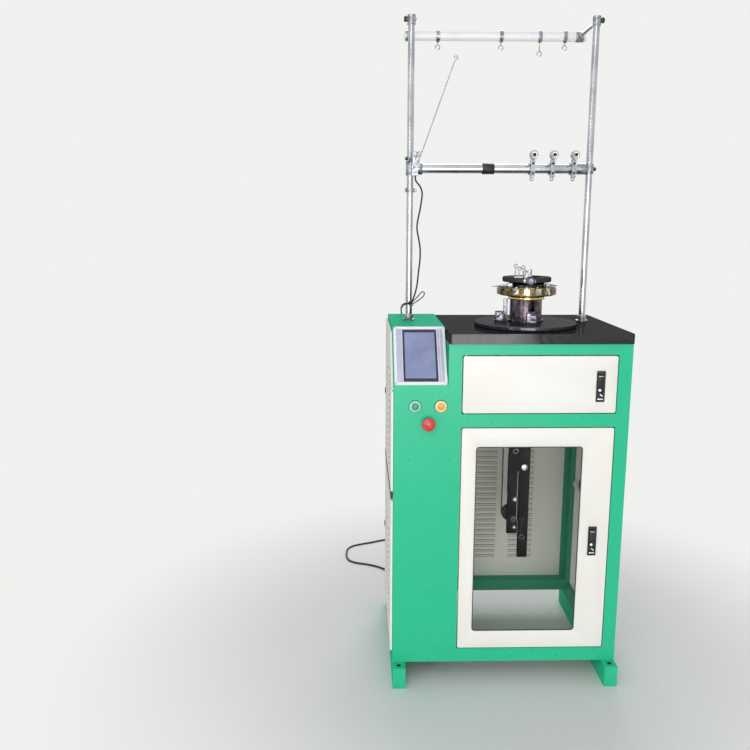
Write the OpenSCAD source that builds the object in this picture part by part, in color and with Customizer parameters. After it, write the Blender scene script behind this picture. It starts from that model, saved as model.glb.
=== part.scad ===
// Small-diameter circular knitting machine: steel cabinet with doors, control
// column with a touch screen, black table, knitting head, belt drive,
// take-down rollers and a yarn stand on two posts.
// Sizes are in millimetres. Each module works in the cabinet's own frame,
// with x from its left face, y from its front face and z from the floor, and
// place() moves it so that the middle of the four floor bolts is the origin.

/* [Cabinet] */
// Width of the cabinet across its front
body_w = 665; // [620:1:760]
// Depth of the cabinet from front sheet to back sheet
body_d = 460; // [430:1:540]
// Height of the cabinet's underside above the floor
foot_h = 64; // [50:1:90]
// Width and depth of the square frame tubes
tube = 38; // [30:1:44]
// Thickness of the cabinet's steel sheets
sheet = 2; // [1:0.5:3]
// Width of a foot rail
foot_w = 38; // [30:1:60]
// Length of foot rail that stands out in front of and behind the cabinet
foot_out = 38; // [34:1:60]
// Radius of the floor bolt holes
foot_bolt_r = 5.5; // [4:0.5:7]

/* [Control column] */
// Width of the control column
column_w = 152; // [145:1:180]
// Height of the column above the frame
column_rise = 32; // [28:1:60]
// Height of the column's slope
slope_h = 149; // [140:1:165]
// Depth that the sloped face runs back
slope_run = 115; // [90:1:130]
// Width of the screen's frame
hmi_w = 148; // [120:1:148]
// Height of the screen's frame along the slope
hmi_h = 186; // [150:1:186]
// Height that the screen's frame stands off the slope
hmi_t = 6; // [4:0.5:10]
// Width of the glass of the screen
screen_w = 98; // [80:1:104]
// Height of the glass of the screen
screen_h = 168; // [130:1:170]

/* [Push buttons] */
// Radius of the bright rings of the push buttons
ring_r = 16.5; // [13:0.5:17]
// Height of the rings
ring_h = 4; // [3:0.5:6]
// Radius of the two push button caps
cap_r = 11; // [9:0.5:12]
// Height of the cap in front of its ring
cap_out = 3; // [2:0.5:5]
// Radius of the stop button's mushroom head
stop_r = 19; // [16:0.5:24]
// Distance of the stop button's rim from the sheet
stop_out = 13; // [12:0.5:20]
// Radius of the stop button's stem
stop_stem_r = 8; // [6:0.5:9]
// Distance of the two push buttons below the slope
button_down = 59; // [45:1:75]
// Distance of the stop button below the slope
stop_down = 108; // [100:1:125]
// Left button's distance from the cabinet's left face
green_x = 60; // [50:1:70]
// Right button's distance from the cabinet's left face
yellow_x = 132; // [110:1:134]

/* [Doors] */
// Gap round an inset door
door_gap = 3; // [2.5:0.5:5]
// Thickness of an inset door's folded edge
door_t = 12; // [10:1:12]
// Distance that the doors stand in front of the sheet
door_proud = 1; // [0:0.5:2]
// Height of the opening of the lower door
lower_open_h = 679; // [600:1:690]
// Height of the lower edge of that opening
lower_open_z = 106; // [102:1:112]
// Height of the rail between the two front doors
mid_rail_h = 38; // [30:1:44]
// Height of the opening of the upper door
upper_open_h = 168; // [150:1:200]
// Height of the rail above the upper front door
top_rail_h = 31; // [26:1:40]
// Corner radius of the doors
door_r = 5; // [3:0.5:8]
// Distance of the hinge pins from the door's edge
pin_in = 7; // [7:0.5:9]
// Radius of the hinge pins
pin_r = 3; // [2:0.25:3.5]
// Length of a hinge pin inside its door
pin_len = 9; // [7:0.5:11]
// Distance of the window from the lower door's left edge
window_left = 42; // [36:1:60]
// Distance of the window from the lower door's right edge
window_right = 87; // [80:1:110]
// Distance of the window from the lower door's top and bottom edges
window_edge = 55; // [40:1:70]
// Corner radius of the window
window_r = 9; // [6:0.5:14]
// Thickness of the clear pane
pane_t = 3; // [2:0.5:4]

/* [Latches] */
// Width of a door latch
latch_w = 24; // [22:1:30]
// Height of a door latch
latch_h = 88; // [80:1:100]
// Height that the latch stands off its door
latch_out = 3; // [2:0.5:4]
// Width of the latch's swinging handle
lever_w = 17.6; // [14:0.2:18]
// Length of the latch's swinging handle
lever_h = 50; // [40:1:54]
// Distance of the latches from the right edge of their doors
latch_in = 46; // [40:1:56]
// Height of the upper latch above the lower edge of its opening
upper_latch_up = 79; // [70:1:90]
// Height of the lower latch above the lower edge of its opening
lower_latch_up = 338; // [200:1:500]

/* [Side doors] */
// Thickness of the louvred side doors
side_t = 6; // [6:0.5:9]
// Height of the gap between the two left doors
side_split_z = 571; // [520:1:620]
// Lower edge of the lower left door
side_low_z = 100; // [92:1:120]
// Thickness of the louvred skins
skin = 1.5; // [1:0.25:2]
// Radius of the side doors' hinge pins
side_pin_r = 1.5; // [1:0.25:2]

/* [Louvres] */
// Distance from one louvre to the next
louvre_pitch = 19; // [16:0.5:24]
// Height of a louvre's hood
louvre_h = 9; // [7:0.5:11]
// Height that the hood stands off the sheet
louvre_out = 4; // [3:0.5:6]
// Height of the slot under a louvre's hood
louvre_slot = 4; // [3:0.5:4]
// Width of a louvre
louvre_w = 84; // [60:1:100]
// Height of the lowest louvre of the back panel
back_louvre_z = 195; // [170:1:230]
// Height of the lowest louvre of a side door above the door's foot
side_louvre_up = 75; // [60:1:90]
// Number of louvre rows in the back panel
back_rows = 26; // [10:1:28]

/* [Table and head] */
// Thickness of the table
table_t = 28; // [20:1:40]
// Overhang of the table at the front and at the back
table_over = 5; // [2:1:12]
// Corner radius of the table
table_r = 8; // [4:1:20]
// Distance of the knitting head's axis from the cabinet's left face
head_x = 399; // [380:1:420]
// Distance of the knitting head's axis from the cabinet's front
head_y = 184; // [175:1:200]
// Radius of the round bed plate
bed_r = 150; // [135:1:165]
// Thickness of the bed plate
bed_t = 14; // [10:1:20]
// Outer radius of the cylinder housing
housing_r = 47; // [42:0.5:52]
// Height of the cylinder housing above the bed plate
housing_h = 74; // [66:1:90]
// Inner radius of the cylinder housing around the cylinder's head
housing_bore_r = 34; // [33:0.5:36]
// Outer radius of the needle cylinder
cyl_r = 30; // [28:0.5:31]
// Radius of the cylinder's hollow shaft
shaft_r = 25; // [22:0.5:26]
// Radius of the bore that the knitted cord falls through
cord_bore_r = 17; // [14:0.5:19]
// Number of needles
needle_n = 24; // [12:2:30]
// Thickness of a needle
needle_t = 1.2; // [0.8:0.1:1.6]
// Radius of the brass disc
brass_r = 51; // [48:0.5:58]
// Thickness of the brass disc
brass_t = 4; // [3:0.5:6]
// Radius of the cam ring
cam_r = 86.5; // [78:0.5:94]
// Height of the cam ring
cam_h = 26; // [20:1:32]
// Inner radius of the cam ring
cam_bore_r = 36; // [35.5:0.5:40]
// Radius of the dark body under the carrier ring
dial_r = 54; // [50:0.5:62]
// Height of that body
dial_h = 13; // [10:1:18]
// Radius of the yarn carrier ring
carrier_r = 71; // [64:0.5:78]
// Height of the carrier ring
carrier_h = 14; // [12:1:22]
// Inner radius of the carrier ring
carrier_bore_r = 42; // [38:0.5:48]
// Radius of the knurled knob on the carrier ring
knob_r = 13; // [10:0.5:16]
// Distance of the left feeder's foot from the head's axis, to the left
feeder_left = 62; // [58:1:66]
// Distance of the right feeder's foot from the head's axis, to the right
feeder_right = 35; // [31:1:39]
// Distance of both feeders from the head's axis, to the front
feeder_front = 34; // [30:1:36]

/* [Drive and take-down] */
// Radius of the pulley on the cylinder's shaft
spindle_pulley_r = 55; // [50:1:60]
// Radius of the motor's pulley
motor_pulley_r = 30; // [24:1:36]
// Distance of the drive belt's middle below the frame's top
belt_down = 84; // [78:1:88]
// Width of the drive belt
belt_w = 16; // [12:1:18]
// Thickness of both belts
belt_t = 1.5; // [1:0.25:2.5]
// Motor's distance to the right of the knitting head
motor_dx = 141; // [125:1:145]
// Motor's distance behind the knitting head
motor_dy = 112; // [100:1:115]
// Width of the square motor
motor_w = 100; // [80:1:104]
// Height of the motor's body
motor_h = 96; // [80:1:110]
// Lower end of the long take-down bar
bar_low_z = 320; // [300:1:360]
// Lower end of the short take-down bar
bar_short_z = 399; // [385:1:410]
// Thickness of the take-down bars
bar_t = 12; // [8:1:14]
// Height of the take-down rollers
roller_z = 446; // [436:1:470]
// Radius of the take-down rollers
roller_r = 14.3; // [10:0.1:14.3]
// Distance between the axes of the two rollers
roller_gap = 29; // [29:0.5:31]
// Distance of the take-down belt's upper pulley below the frame's top
pulley_down = 202; // [187:1:222]
// Radius of the take-down pulleys
take_pulley_r = 25; // [20:0.5:27]

/* [Yarn stand] */
// Radius of the posts
post_r = 10; // [9:0.5:13]
// Left post's distance from the cabinet's left face
left_post_x = 58; // [50:1:70]
// Right post's distance from the cabinet's right face
right_post_in = 67; // [50:1:70]
// Distance of the posts from the cabinet's front
post_y = 290; // [280:1:300]
// Height of the posts' tops
post_top = 1941; // [1900:1:2000]
// Radius of the top crossbar
top_bar_r = 14; // [11:0.5:16]
// Distance of the top crossbar behind the posts
top_bar_back = 210; // [180:1:260]
// Height of the top crossbar's axis below the posts' tops
top_bar_down = 11; // [10:1:15]
// Radius of the middle crossbar
mid_bar_r = 13.5; // [11:0.5:15]
// Height of the middle crossbar's axis
mid_bar_z = 1510; // [1450:1:1560]
// Length of the stop-motion arm
arm_l = 326; // [260:1:360]
// Lean of the stop-motion arm from upright, in degrees
arm_lean = 19.8; // [10:0.2:30]
// Radius of the stop-motion arm's wire
arm_r = 1.5; // [1:0.25:2.5]
// Distance of the stop-motion arm's pivot in front of the left post
arm_front = 36; // [34:1:40]
// Reach of the left clamp along the middle crossbar
clamp_reach = 36; // [34:1:40]

/* [Cords] */
// Diameter of the mains lead
mains_d = 8; // [6:0.5:9]
// Diameter of the signal lead
signal_d = 5; // [4:0.5:6]
// Height of the mains lead's gland above the floor
mains_gland_z = 150; // [130:1:180]
// Gland's distance from the cabinet's left face
mains_gland_x = 76; // [60:1:90]
// Length of the bend sleeve on the mains lead's gland
mains_sleeve = 26; // [20:1:32]

/* [Hidden] */
$fn = 48;

// Running clearance between a shaft and its hole
run = 0.05;
// Small overlap for cuts
eps = 0.1;
green = [0.20, 0.76, 0.56];
cream = [0.97, 0.95, 0.90];
black = [0.10, 0.10, 0.11];
steel = [0.80, 0.82, 0.84];

// Limits of the frame and of its openings
tube_y0 = sheet;
tube_y1 = body_d - sheet;
open_x0 = column_w + tube;
open_x1 = body_w - tube;
upper_open_z = lower_open_z + lower_open_h + mid_rail_h;
upper_open_top = upper_open_z + upper_open_h;
frame_top = upper_open_top + top_rail_h;
column_top = frame_top + column_rise;
slope_z = column_top - slope_h;
slope_a = atan(slope_run / (column_top - slope_z));
table_top_z = frame_top + table_t;
upper_latch_z = upper_open_z + upper_latch_up;
lower_latch_z = lower_open_z + lower_latch_up;
button_z = slope_z - button_down;
stop_z = slope_z - stop_down;
stop_x = (green_x + yellow_x) / 2 + 1;

// Stack of the knitting head
bed_top = table_top_z + bed_t;
housing_top = bed_top + housing_h;
brass_top = housing_top + brass_t;
cam_top = brass_top + cam_h;
dial_top = cam_top + dial_h;
carrier_top = dial_top + carrier_h;
needle_low = housing_top - 34;

// Drive, take-down and stand places
belt_z = frame_top - belt_down;
upper_pulley_z = frame_top - pulley_down;
yoke_z = frame_top - 142;
bar_y = 168;
short_axis_x = head_x - 17;
long_axis_x = short_axis_x + roller_gap;
right_post_x = body_w - right_post_in;
top_bar_y = post_y + top_bar_back;
top_bar_z = post_top - top_bar_down;
arm_x = left_post_x + 18;
arm_z = mid_bar_z + 6;
signal_gland_x = 48.5;
signal_gland_z = column_top - 94;

// Chosen route of the mains lead, from its gland's place on the column's back to the coil
mains_points = [
    [0, 40, 150], [0, 56, 149], [0, 76, 142], [0, 94, 124],
    [-1, 106, 98], [-2, 116, 68], [-4, 128, 38], [-7, 146, 15],
    [-12, 172, 5], [-22, 204, 4], [-34, 240, 4], [-50, 276, 4],
    [-74, 310, 4], [-108, 338, 4], [-148, 358, 4], [-184, 370, 4],
    [-212, 392, 4], [-224, 426, 4], [-225, 466, 4], [-221, 506, 4],
    [-200, 538, 4], [-164, 558, 4], [-120, 576, 4], [-74, 598, 4],
    [-28, 608, 4], [10, 604, 4], [44, 598, 4]];
// Chosen route of the mains lead from the coil to its plug, from the same place
tail_points = [
    [92, 550, 20], [92, 530, 18], [93, 504, 12], [96, 478, 7],
    [102, 454, 8], [110, 432, 9]];
// Chosen route of the signal lead: from its gland on the column's back,
signal_start = [
    [0, 24, 0], [0, 38, 1], [0, 48, 8], [0, 53, 22],
    [0, 53, 50], [-1, 46, 78], [-3, 24, 101], [-6, -12, 113]];
// then from the left post's foot,
signal_foot = [
    [-17, 112, 25], [-18, 64, 32], [-18, 24, 40], [-15, -2, 48],
    [-5, -17, 53], [7, -21, 59], [16, -22, 80], [23, -22, 110]];
// and last from where that post crosses the middle bar
signal_rise = [
    [27, -22, -307], [31, -22, -270], [31, -22, -235], [26, -22, -205],
    [21, -22, -177], [23, -22, -153], [29, -22, -123], [34, -22, -91],
    [35, -22, -71], [29, -19, -53], [18, -14, -39], [15, -12, -29],
    [15, -12, -21]];

// The routes in the part's frame
back_at = [mains_gland_x - body_w / 2, body_d / 2, 0];
signal_gland_at = [signal_gland_x - body_w / 2, body_d / 2, signal_gland_z];
post_at = [left_post_x - body_w / 2, post_y - body_d / 2, 0];
mains_route = [for (p = mains_points) back_at + p];
tail_route = [for (p = tail_points) back_at + p];
signal_route = concat(
    [for (p = signal_start) signal_gland_at + p],
    [for (p = signal_foot) post_at + p + [0, 0, column_top]],
    [for (p = signal_rise) post_at + p + [0, 0, mid_bar_z]]);
coil_x = back_at[0] + 44;
coil_y = back_at[1] + 550;
coil_mean_r = 44;
coil_turn_w = 2;
coil_layers = 3;

// Moves a piece from the cabinet's frame to the part's own frame.
module place() {
    translate([-body_w / 2, -body_d / 2, 0]) children();
}

// A box between two corners.
module slab(x0, y0, z0, x1, y1, z1) {
    translate([x0, y0, z0]) cube([x1 - x0, y1 - y0, z1 - z0]);
}

// A rectangle with round corners between two corners.
module round_rect(x0, y0, x1, y1, r) {
    translate([x0 + r, y0]) square([x1 - x0 - 2 * r, y1 - y0]);
    translate([x0, y0 + r]) square([x1 - x0, y1 - y0 - 2 * r]);
    for (x = [x0 + r, x1 - r])
        for (y = [y0 + r, y1 - r])
            translate([x, y]) circle(r);
}

// A flat outline in x and z, from y0 back by t.
module front_plate(y0, t) {
    translate([0, y0 + t, 0]) rotate([90, 0, 0]) linear_extrude(t) children();
}

// A flat outline in y and z, from x0 to the right by t.
module side_plate(x0, t) {
    translate([x0, 0, 0]) rotate([90, 0, 90]) linear_extrude(t) children();
}

// Cylinders along x and along y.
module rod_x(x0, x1, y, z, r) {
    translate([x0, y, z]) rotate([0, 90, 0]) cylinder(h = x1 - x0, r = r);
}
module rod_y(x, y0, y1, z, r) {
    translate([x, y0, z]) rotate([-90, 0, 0]) cylinder(h = y1 - y0, r = r);
}
module rod_z(x, y, z0, z1, r) {
    translate([x, y, z0]) cylinder(h = z1 - z0, r = r);
}

// Moves children to the foot of the sloped face, with z up the slope and y inwards.
module on_slope() {
    translate([0, 0, slope_z]) rotate([-slope_a, 0, 0]) children();
}

// Moves children to the axis of the knitting head.
module at_head(z) {
    translate([head_x, head_y, z]) children();
}

// Cabinet

// Height of the upper edge of the back rail
back_rail_z = lower_open_z + 16;

// Upright tubes and the rails between them, welded into one frame with the wall
// beside the column. The machine room is open below, between the rails, and flat
// flanges along its rear posts take the back sheet.
module cabinet_frame() {
    flange_w = 15;
    color(green) place() {
        for (y = [tube_y0, tube_y1 - tube]) {
            slab(0, y, foot_h, tube, y + tube, slope_z - sheet);
            slab(column_w, y, foot_h, open_x0, y + tube, frame_top);
            slab(open_x1, y, foot_h, body_w, y + tube, frame_top);
            slab(tube, y, foot_h, column_w, y + tube, lower_open_z);
            slab(open_x0, y, upper_open_top, open_x1, y + tube, frame_top);
            slab(tube, y, slope_z - sheet - tube, column_w, y + tube, slope_z - sheet);
        }
        slab(open_x0, tube_y0, foot_h, open_x1, tube_y0 + tube, lower_open_z);
        slab(open_x0, tube_y0, upper_open_z - mid_rail_h, open_x1, tube_y0 + tube, upper_open_z);
        for (x = [0, column_w, open_x1]) {
            slab(x, tube_y0, foot_h, x + tube, tube_y1, lower_open_z);
        }
        slab(0, tube_y0, slope_z - sheet - tube, tube, tube_y1, slope_z - sheet);
        slab(0, tube_y0, side_split_z - tube / 2, tube, tube_y1, side_split_z + tube / 2);
        slab(column_w, tube_y0, upper_open_top, open_x0, tube_y1, frame_top);
        slab(open_x1, tube_y0, upper_open_top, body_w, tube_y1, frame_top);
        slab(column_w, tube_y0, lower_open_z, column_w + sheet, tube_y1, frame_top);
        slab(open_x0, tube_y1 - tube, back_rail_z - tube, open_x1, tube_y1, back_rail_z);
        for (x = [open_x0 - eps, open_x1 - flange_w])
            slab(x, tube_y1 - sheet, back_rail_z - eps, x + flange_w + eps, tube_y1,
                upper_open_top + eps);
    }
}

// Front sheet with the two door openings and the holes of the buttons.
module front_panel() {
    color(green) place() front_plate(0, sheet) difference() {
        polygon([[0, foot_h], [body_w, foot_h], [body_w, frame_top], [column_w, frame_top],
            [column_w, slope_z], [0, slope_z]]);
        round_rect(open_x0, lower_open_z, open_x1, lower_open_z + lower_open_h, door_r);
        round_rect(open_x0, upper_open_z, open_x1, upper_open_top, door_r);
        for (x = [green_x, yellow_x])
            translate([x, button_z]) circle(cap_r + run);
        translate([stop_x, stop_z]) circle(stop_stem_r + run);
    }
}

// Outline of the column's head in y and z, set in by e from the slope and the top.
module column_outline(e, low_z) {
    y_at_slope = e / cos(slope_a);
    top_z = column_top - e;
    polygon([[y_at_slope + (low_z - slope_z) * tan(slope_a), low_z],
        [y_at_slope + (top_z - slope_z) * tan(slope_a), top_z],
        [body_d - e, top_z], [body_d - e, low_z]]);
}

// Folded head of the column: slope, flat top, back and two cheeks.
module column_cover() {
    border = 25;
    color(green) place() difference() {
        side_plate(0, column_w) column_outline(0, slope_z);
        side_plate(sheet, column_w - 2 * sheet) column_outline(sheet, slope_z - eps);
        side_plate(-eps, sheet + 2 * eps) column_outline(border, slope_z - eps);
        on_slope() translate([(column_w - hmi_w) / 2 + 8, -eps - 4, 9])
            cube([hmi_w - 16, sheet + 8, hmi_h - 16]);
        rod_z(left_post_x, post_y, column_top - sheet - eps, column_top + eps, post_r + run);
        rod_y(signal_gland_x, body_d - sheet - eps, body_d + eps, signal_gland_z, 3);
    }
}

// Two rails on the floor, solid at the bolt lugs and hollow from below between them.
module foot_rails() {
    wall = 4;
    color(green) place() for (x = [0, body_w - foot_w]) difference() {
        slab(x, -foot_out, 0, x + foot_w, body_d + foot_out, foot_h);
        slab(x + wall, foot_out, -eps, x + foot_w - wall, body_d - foot_out, foot_h - wall);
        for (y = [-foot_out / 2, body_d + foot_out / 2])
            rod_z(x + foot_w / 2, y, -eps, foot_h + eps, foot_bolt_r);
    }
}

// Table slab with round corners, a chamfered rim and the hole under the head.
module table_top() {
    chamfer = 2;
    x0 = column_w + 1;
    x1 = body_w + 2;
    y1 = body_d + table_over;
    color(black) place() difference() {
        union() {
            translate([0, 0, frame_top]) linear_extrude(table_t - chamfer)
                round_rect(x0, -table_over, x1, y1, table_r);
            translate([0, 0, table_top_z - chamfer]) linear_extrude(chamfer)
                round_rect(x0 + chamfer / 2, chamfer / 2 - table_over,
                    x1 - chamfer / 2, y1 - chamfer / 2, table_r - chamfer / 2);
        }
        at_head(frame_top - eps) cylinder(h = table_t + 2 * eps, r = housing_r + run);
        rod_z(right_post_x, post_y, table_top_z - 12, table_top_z + eps, post_r + run);
    }
}

// One louvre hood, open downwards, on a sheet whose face is at y = 0 and faces +y.
module louvre_hood(w) {
    t = 1;
    translate([-w / 2, 0, 0]) rotate([90, 0, 90]) linear_extrude(w)
        polygon([[-eps, louvre_h], [0, louvre_h], [louvre_out, 0], [louvre_out - t, 0],
            [-eps, louvre_h - 2 * t]]);
}

// The slot under one louvre hood, a little above the hood's lip.
module louvre_cut(w, t) {
    lip = 2.5;
    translate([-w / 2 + 1, -t - 1, lip]) cube([w - 2, t + 1 + eps, louvre_slot]);
}

// Rows and columns of louvres at given places along x, from z0 upwards.
module louvre_field(columns, rows, z0, cut, t) {
    for (x = columns)
        for (i = [0 : rows - 1])
            translate([x, 0, z0 + i * louvre_pitch]) {
                if (cut) louvre_cut(louvre_w, t);
                if (!cut) louvre_hood(louvre_w);
            }
}

// Back sheet of the machine room with two columns of louvres, and the plain one
// of the column.
module back_panels() {
    x0 = column_w + 6;
    x1 = body_w - 6;
    z0 = back_rail_z - 7;
    z1 = frame_top - 6;
    columns = [x0 + 181, x0 + 181 + louvre_w + 44];
    color(cream) place() {
        difference() {
            union() {
                slab(x0, tube_y1, z0, x1, body_d, z1);
                translate([0, body_d, 0]) louvre_field(columns, back_rows, back_louvre_z, false, sheet);
            }
            translate([0, body_d, 0]) louvre_field(columns, back_rows, back_louvre_z, true, sheet);
        }
        difference() {
            slab(6, tube_y1, lower_open_z - 7, column_w - 6, body_d, slope_z - 6);
            rod_y(mains_gland_x, tube_y1 - eps, body_d + eps, mains_gland_z, 5);
        }
    }
}

// Side doors of the column

side_gap = 1;
side_x0 = -side_gap - side_t;
side_axis_x = -side_gap - side_t / 2;
side_axis_y = 6;
side_y0 = 4;
side_y1 = body_d - 5;
side_slope_in = 14;

// Outline of the upper left door in y and z, set in by e.
module upper_side_outline(e) {
    c = side_slope_in + e;
    top_z = column_top - c;
    y_slope = c / cos(slope_a);
    z_meet = slope_z - (y_slope - side_y0 - e) / tan(slope_a);
    polygon([[side_y0 + e, side_split_z + 3 + e], [side_y0 + e, z_meet],
        [y_slope + (top_z - slope_z) * tan(slope_a), top_z],
        [side_y1 - e, top_z], [side_y1 - e, side_split_z + 3 + e]]);
}

// Outline of the lower left door in y and z, set in by e.
module lower_side_outline(e) {
    translate([side_y0 + e, side_low_z + e])
        square([side_y1 - side_y0 - 2 * e, side_split_z - 3 - side_low_z - 2 * e]);
}

side_columns = [145, 145 + louvre_w + 60];
side_rows = 15;
upper_side_z = side_split_z + side_louvre_up;
lower_side_z = side_low_z + side_louvre_up;
side_pin_top = slope_z - 11;

// Louvres of a left door, with their hoods on its outer face.
module side_louvres(z0, cut) {
    translate([side_x0, 0, 0]) rotate([0, 0, 90])
        louvre_field(side_columns, side_rows, z0, cut, skin);
}

// The upper left door: a folded skin with louvres and two hinge bores.
module left_upper_door() {
    color(cream) place() difference() {
        union() {
            difference() {
                side_plate(side_x0, side_t) upper_side_outline(0);
                side_plate(side_x0 + skin, side_t) upper_side_outline(skin);
            }
            slab(side_x0 + eps, side_y0 + eps, side_split_z + 3 + eps, -side_gap, side_y0 + 8,
                side_split_z + 13);
            slab(side_x0 + eps, side_y0 + eps, side_pin_top - 20, -side_gap, side_y0 + 8,
                side_pin_top - 9);
            side_louvres(upper_side_z, false);
        }
        side_louvres(upper_side_z, true);
        rod_z(side_axis_x, side_axis_y, side_split_z, side_split_z + 14, side_pin_r + run);
        rod_z(side_axis_x, side_axis_y, side_pin_top - 21, side_pin_top, side_pin_r + run);
    }
}

// The lower left door, hinged like the upper one.
module left_lower_door() {
    top_z = side_split_z - 3;
    color(cream) place() difference() {
        union() {
            difference() {
                side_plate(side_x0, side_t) lower_side_outline(0);
                side_plate(side_x0 + skin, side_t) lower_side_outline(skin);
            }
            for (z = [side_low_z + eps, top_z - 10 - eps])
                slab(side_x0 + eps, side_y0 + eps, z, -side_gap, side_y0 + 8, z + 10);
            side_louvres(lower_side_z, false);
        }
        side_louvres(lower_side_z, true);
        for (z = [side_low_z - eps, top_z - 10])
            rod_z(side_axis_x, side_axis_y, z, z + 10 + eps, side_pin_r + run);
    }
}

// Folded tray of an inset door, with its front face at y = 0 and its edge turned back
// by a given depth.
module door_tray(w, h, depth) {
    difference() {
        front_plate(0, depth) round_rect(0, 0, w, h, door_r);
        front_plate(sheet, depth) round_rect(sheet, sheet, w - sheet, h - sheet, door_r - 1);
    }
    for (z = [sheet / 2, h - pin_len - sheet / 2])
        slab(sheet / 2, sheet / 2, z, pin_in + pin_r + 3, door_t - eps, z + pin_len);
}

// Hinge bores of an inset door.
module door_bores(h) {
    for (z = [-eps, h - pin_len - eps])
        rod_z(pin_in, door_t / 2, z, z + pin_len + 2 * eps, pin_r + run);
}

front_door_w = open_x1 - open_x0 - 2 * door_gap;
upper_door_h = upper_open_top - upper_open_z - 2 * door_gap;
lower_door_h = lower_open_h - 2 * door_gap;
side_open_y0 = tube_y0 + tube;
side_open_y1 = tube_y1 - tube;
right_door_w = side_open_y1 - side_open_y0 - 2 * door_gap;
right_door_h = upper_open_top - lower_open_z - 2 * door_gap;

// Moves a door tray to a front opening whose lower edge is at z.
module front_door_at(z) {
    translate([open_x0 + door_gap, -door_proud, z + door_gap]) children();
}

// Cream door on the right side, hinged at its front edge, with a deep folded edge and
// a slam latch behind its rear edge.
module right_side_door() {
    depth = 24;
    slam_z = 368;
    color(cream) place()
        translate([body_w, side_open_y0 + door_gap, lower_open_z + door_gap]) rotate([0, 0, 90])
            difference() {
                union() {
                    door_tray(right_door_w, right_door_h, depth);
                    slab(right_door_w - 17, depth - 4, slam_z - 9, right_door_w - sheet / 2,
                        depth + 6, slam_z + 9);
                }
                door_bores(right_door_h);
            }
}

// Cut-out of a latch in a door, with the latch's middle at x and z.
module latch_cut(x, z) {
    slab(x - latch_w / 2 + 2, -eps, z - latch_h / 2 + 3, x + latch_w / 2 - 2, door_t + eps,
        z + latch_h / 2 - 3);
}

// Upper front door over the drive.
module upper_front_door() {
    color(cream) place() front_door_at(upper_open_z) difference() {
        door_tray(front_door_w, upper_door_h, door_t);
        door_bores(upper_door_h);
        latch_cut(front_door_w - latch_in, upper_latch_z - upper_open_z - door_gap);
    }
}

// Lower front door with its window and a rim round the pane.
module lower_front_door() {
    lap = 7;
    rim = 2;
    x0 = window_left;
    x1 = front_door_w - window_right;
    z1 = lower_door_h - window_edge;
    color(cream) place() front_door_at(lower_open_z) difference() {
        union() {
            door_tray(front_door_w, lower_door_h, door_t);
            difference() {
                front_plate(sheet / 2, door_t - sheet / 2) round_rect(x0 - lap - rim,
                    window_edge - lap - rim, x1 + lap + rim, z1 + lap + rim, window_r + lap);
                front_plate(sheet, door_t) round_rect(x0 - lap, window_edge - lap, x1 + lap,
                    z1 + lap, window_r + lap - rim);
            }
        }
        front_plate(-eps, door_t) round_rect(x0, window_edge, x1, z1, window_r);
        door_bores(lower_door_h);
        latch_cut(front_door_w - latch_in, lower_latch_z - lower_open_z - door_gap);
    }
}

// Clear pane behind the door's skin.
module window_pane() {
    lap = 6;
    color([0.8, 0.9, 0.9, 0.4]) place() front_door_at(lower_open_z)
        front_plate(sheet, pane_t) round_rect(window_left - lap, window_edge - lap,
            front_door_w - window_right + lap, lower_door_h - window_edge + lap, window_r + 3);
}

// Pins that carry the five doors, with the small tabs of the left ones.
module door_hinge_pins() {
    reach = door_gap + pin_len - 1;
    color(steel) place() {
        for (z = [[lower_open_z, lower_open_z + lower_open_h], [upper_open_z, upper_open_top]]) {
            x = open_x0 + door_gap + pin_in;
            y = door_t / 2 - door_proud;
            rod_z(x, y, z[0], z[0] + reach, pin_r);
            rod_z(x, y, z[1] - reach, z[1], pin_r);
        }
        rod_z(body_w - door_t / 2, side_open_y0 + door_gap + pin_in, lower_open_z,
            lower_open_z + reach, pin_r);
        rod_z(body_w - door_t / 2, side_open_y0 + door_gap + pin_in, upper_open_top - reach,
            upper_open_top, pin_r);
        for (z = [side_low_z - 4, side_split_z - 1.5, side_pin_top]) {
            slab(side_axis_x - 2, side_axis_y - 2, z, 0, side_axis_y + 2, z + 3);
        }
        rod_z(side_axis_x, side_axis_y, side_low_z - 4, side_low_z + 8, side_pin_r);
        rod_z(side_axis_x, side_axis_y, side_split_z - 11, side_split_z + 11, side_pin_r);
        rod_z(side_axis_x, side_axis_y, side_pin_top - 17, side_pin_top, side_pin_r);
    }
}

// Latches

lever_pivot_z = 30;
lever_recess = 18.4;
lever_t = 5;
lever_y = -1.5;
lever_pin_r = 1.5;

// Moves a latch to the front face of a front door at height z.
module latch_at(z) {
    translate([open_x1 - door_gap - latch_in, -door_proud, z]) children();
}

// Latch body with the handle's recess, the pivot's holes and the round lock.
module latch_case() {
    h = latch_h / 2;
    difference() {
        union() {
            front_plate(-latch_out, latch_out) round_rect(-latch_w / 2, -h, latch_w / 2, h, 2);
            slab(3 - latch_w / 2, -eps, 4 - h, latch_w / 2 - 3, door_t - 2, h - 4);
        }
        slab(-lever_recess / 2, -latch_out - eps, lever_pivot_z - lever_h + 2, lever_recess / 2, 2.5,
            lever_pivot_z + 5);
        rod_x(-latch_w / 2 + 1, latch_w / 2 - 1, lever_y, lever_pivot_z, lever_pin_r + run);
    }
    rod_y(0, -latch_out - 1.5, 0, -h + 17, 6);
}

// Swinging handle with its two pivot stubs.
module latch_lever() {
    half = lever_recess / 2 + 1.6;
    translate([0, 0, lever_pivot_z]) {
        front_plate(lever_y - lever_t / 2, lever_t)
            round_rect(-lever_w / 2, 5 - lever_h, lever_w / 2, 3, 2);
        rod_x(-half, half, lever_y, 0, lever_pin_r);
    }
}

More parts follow.
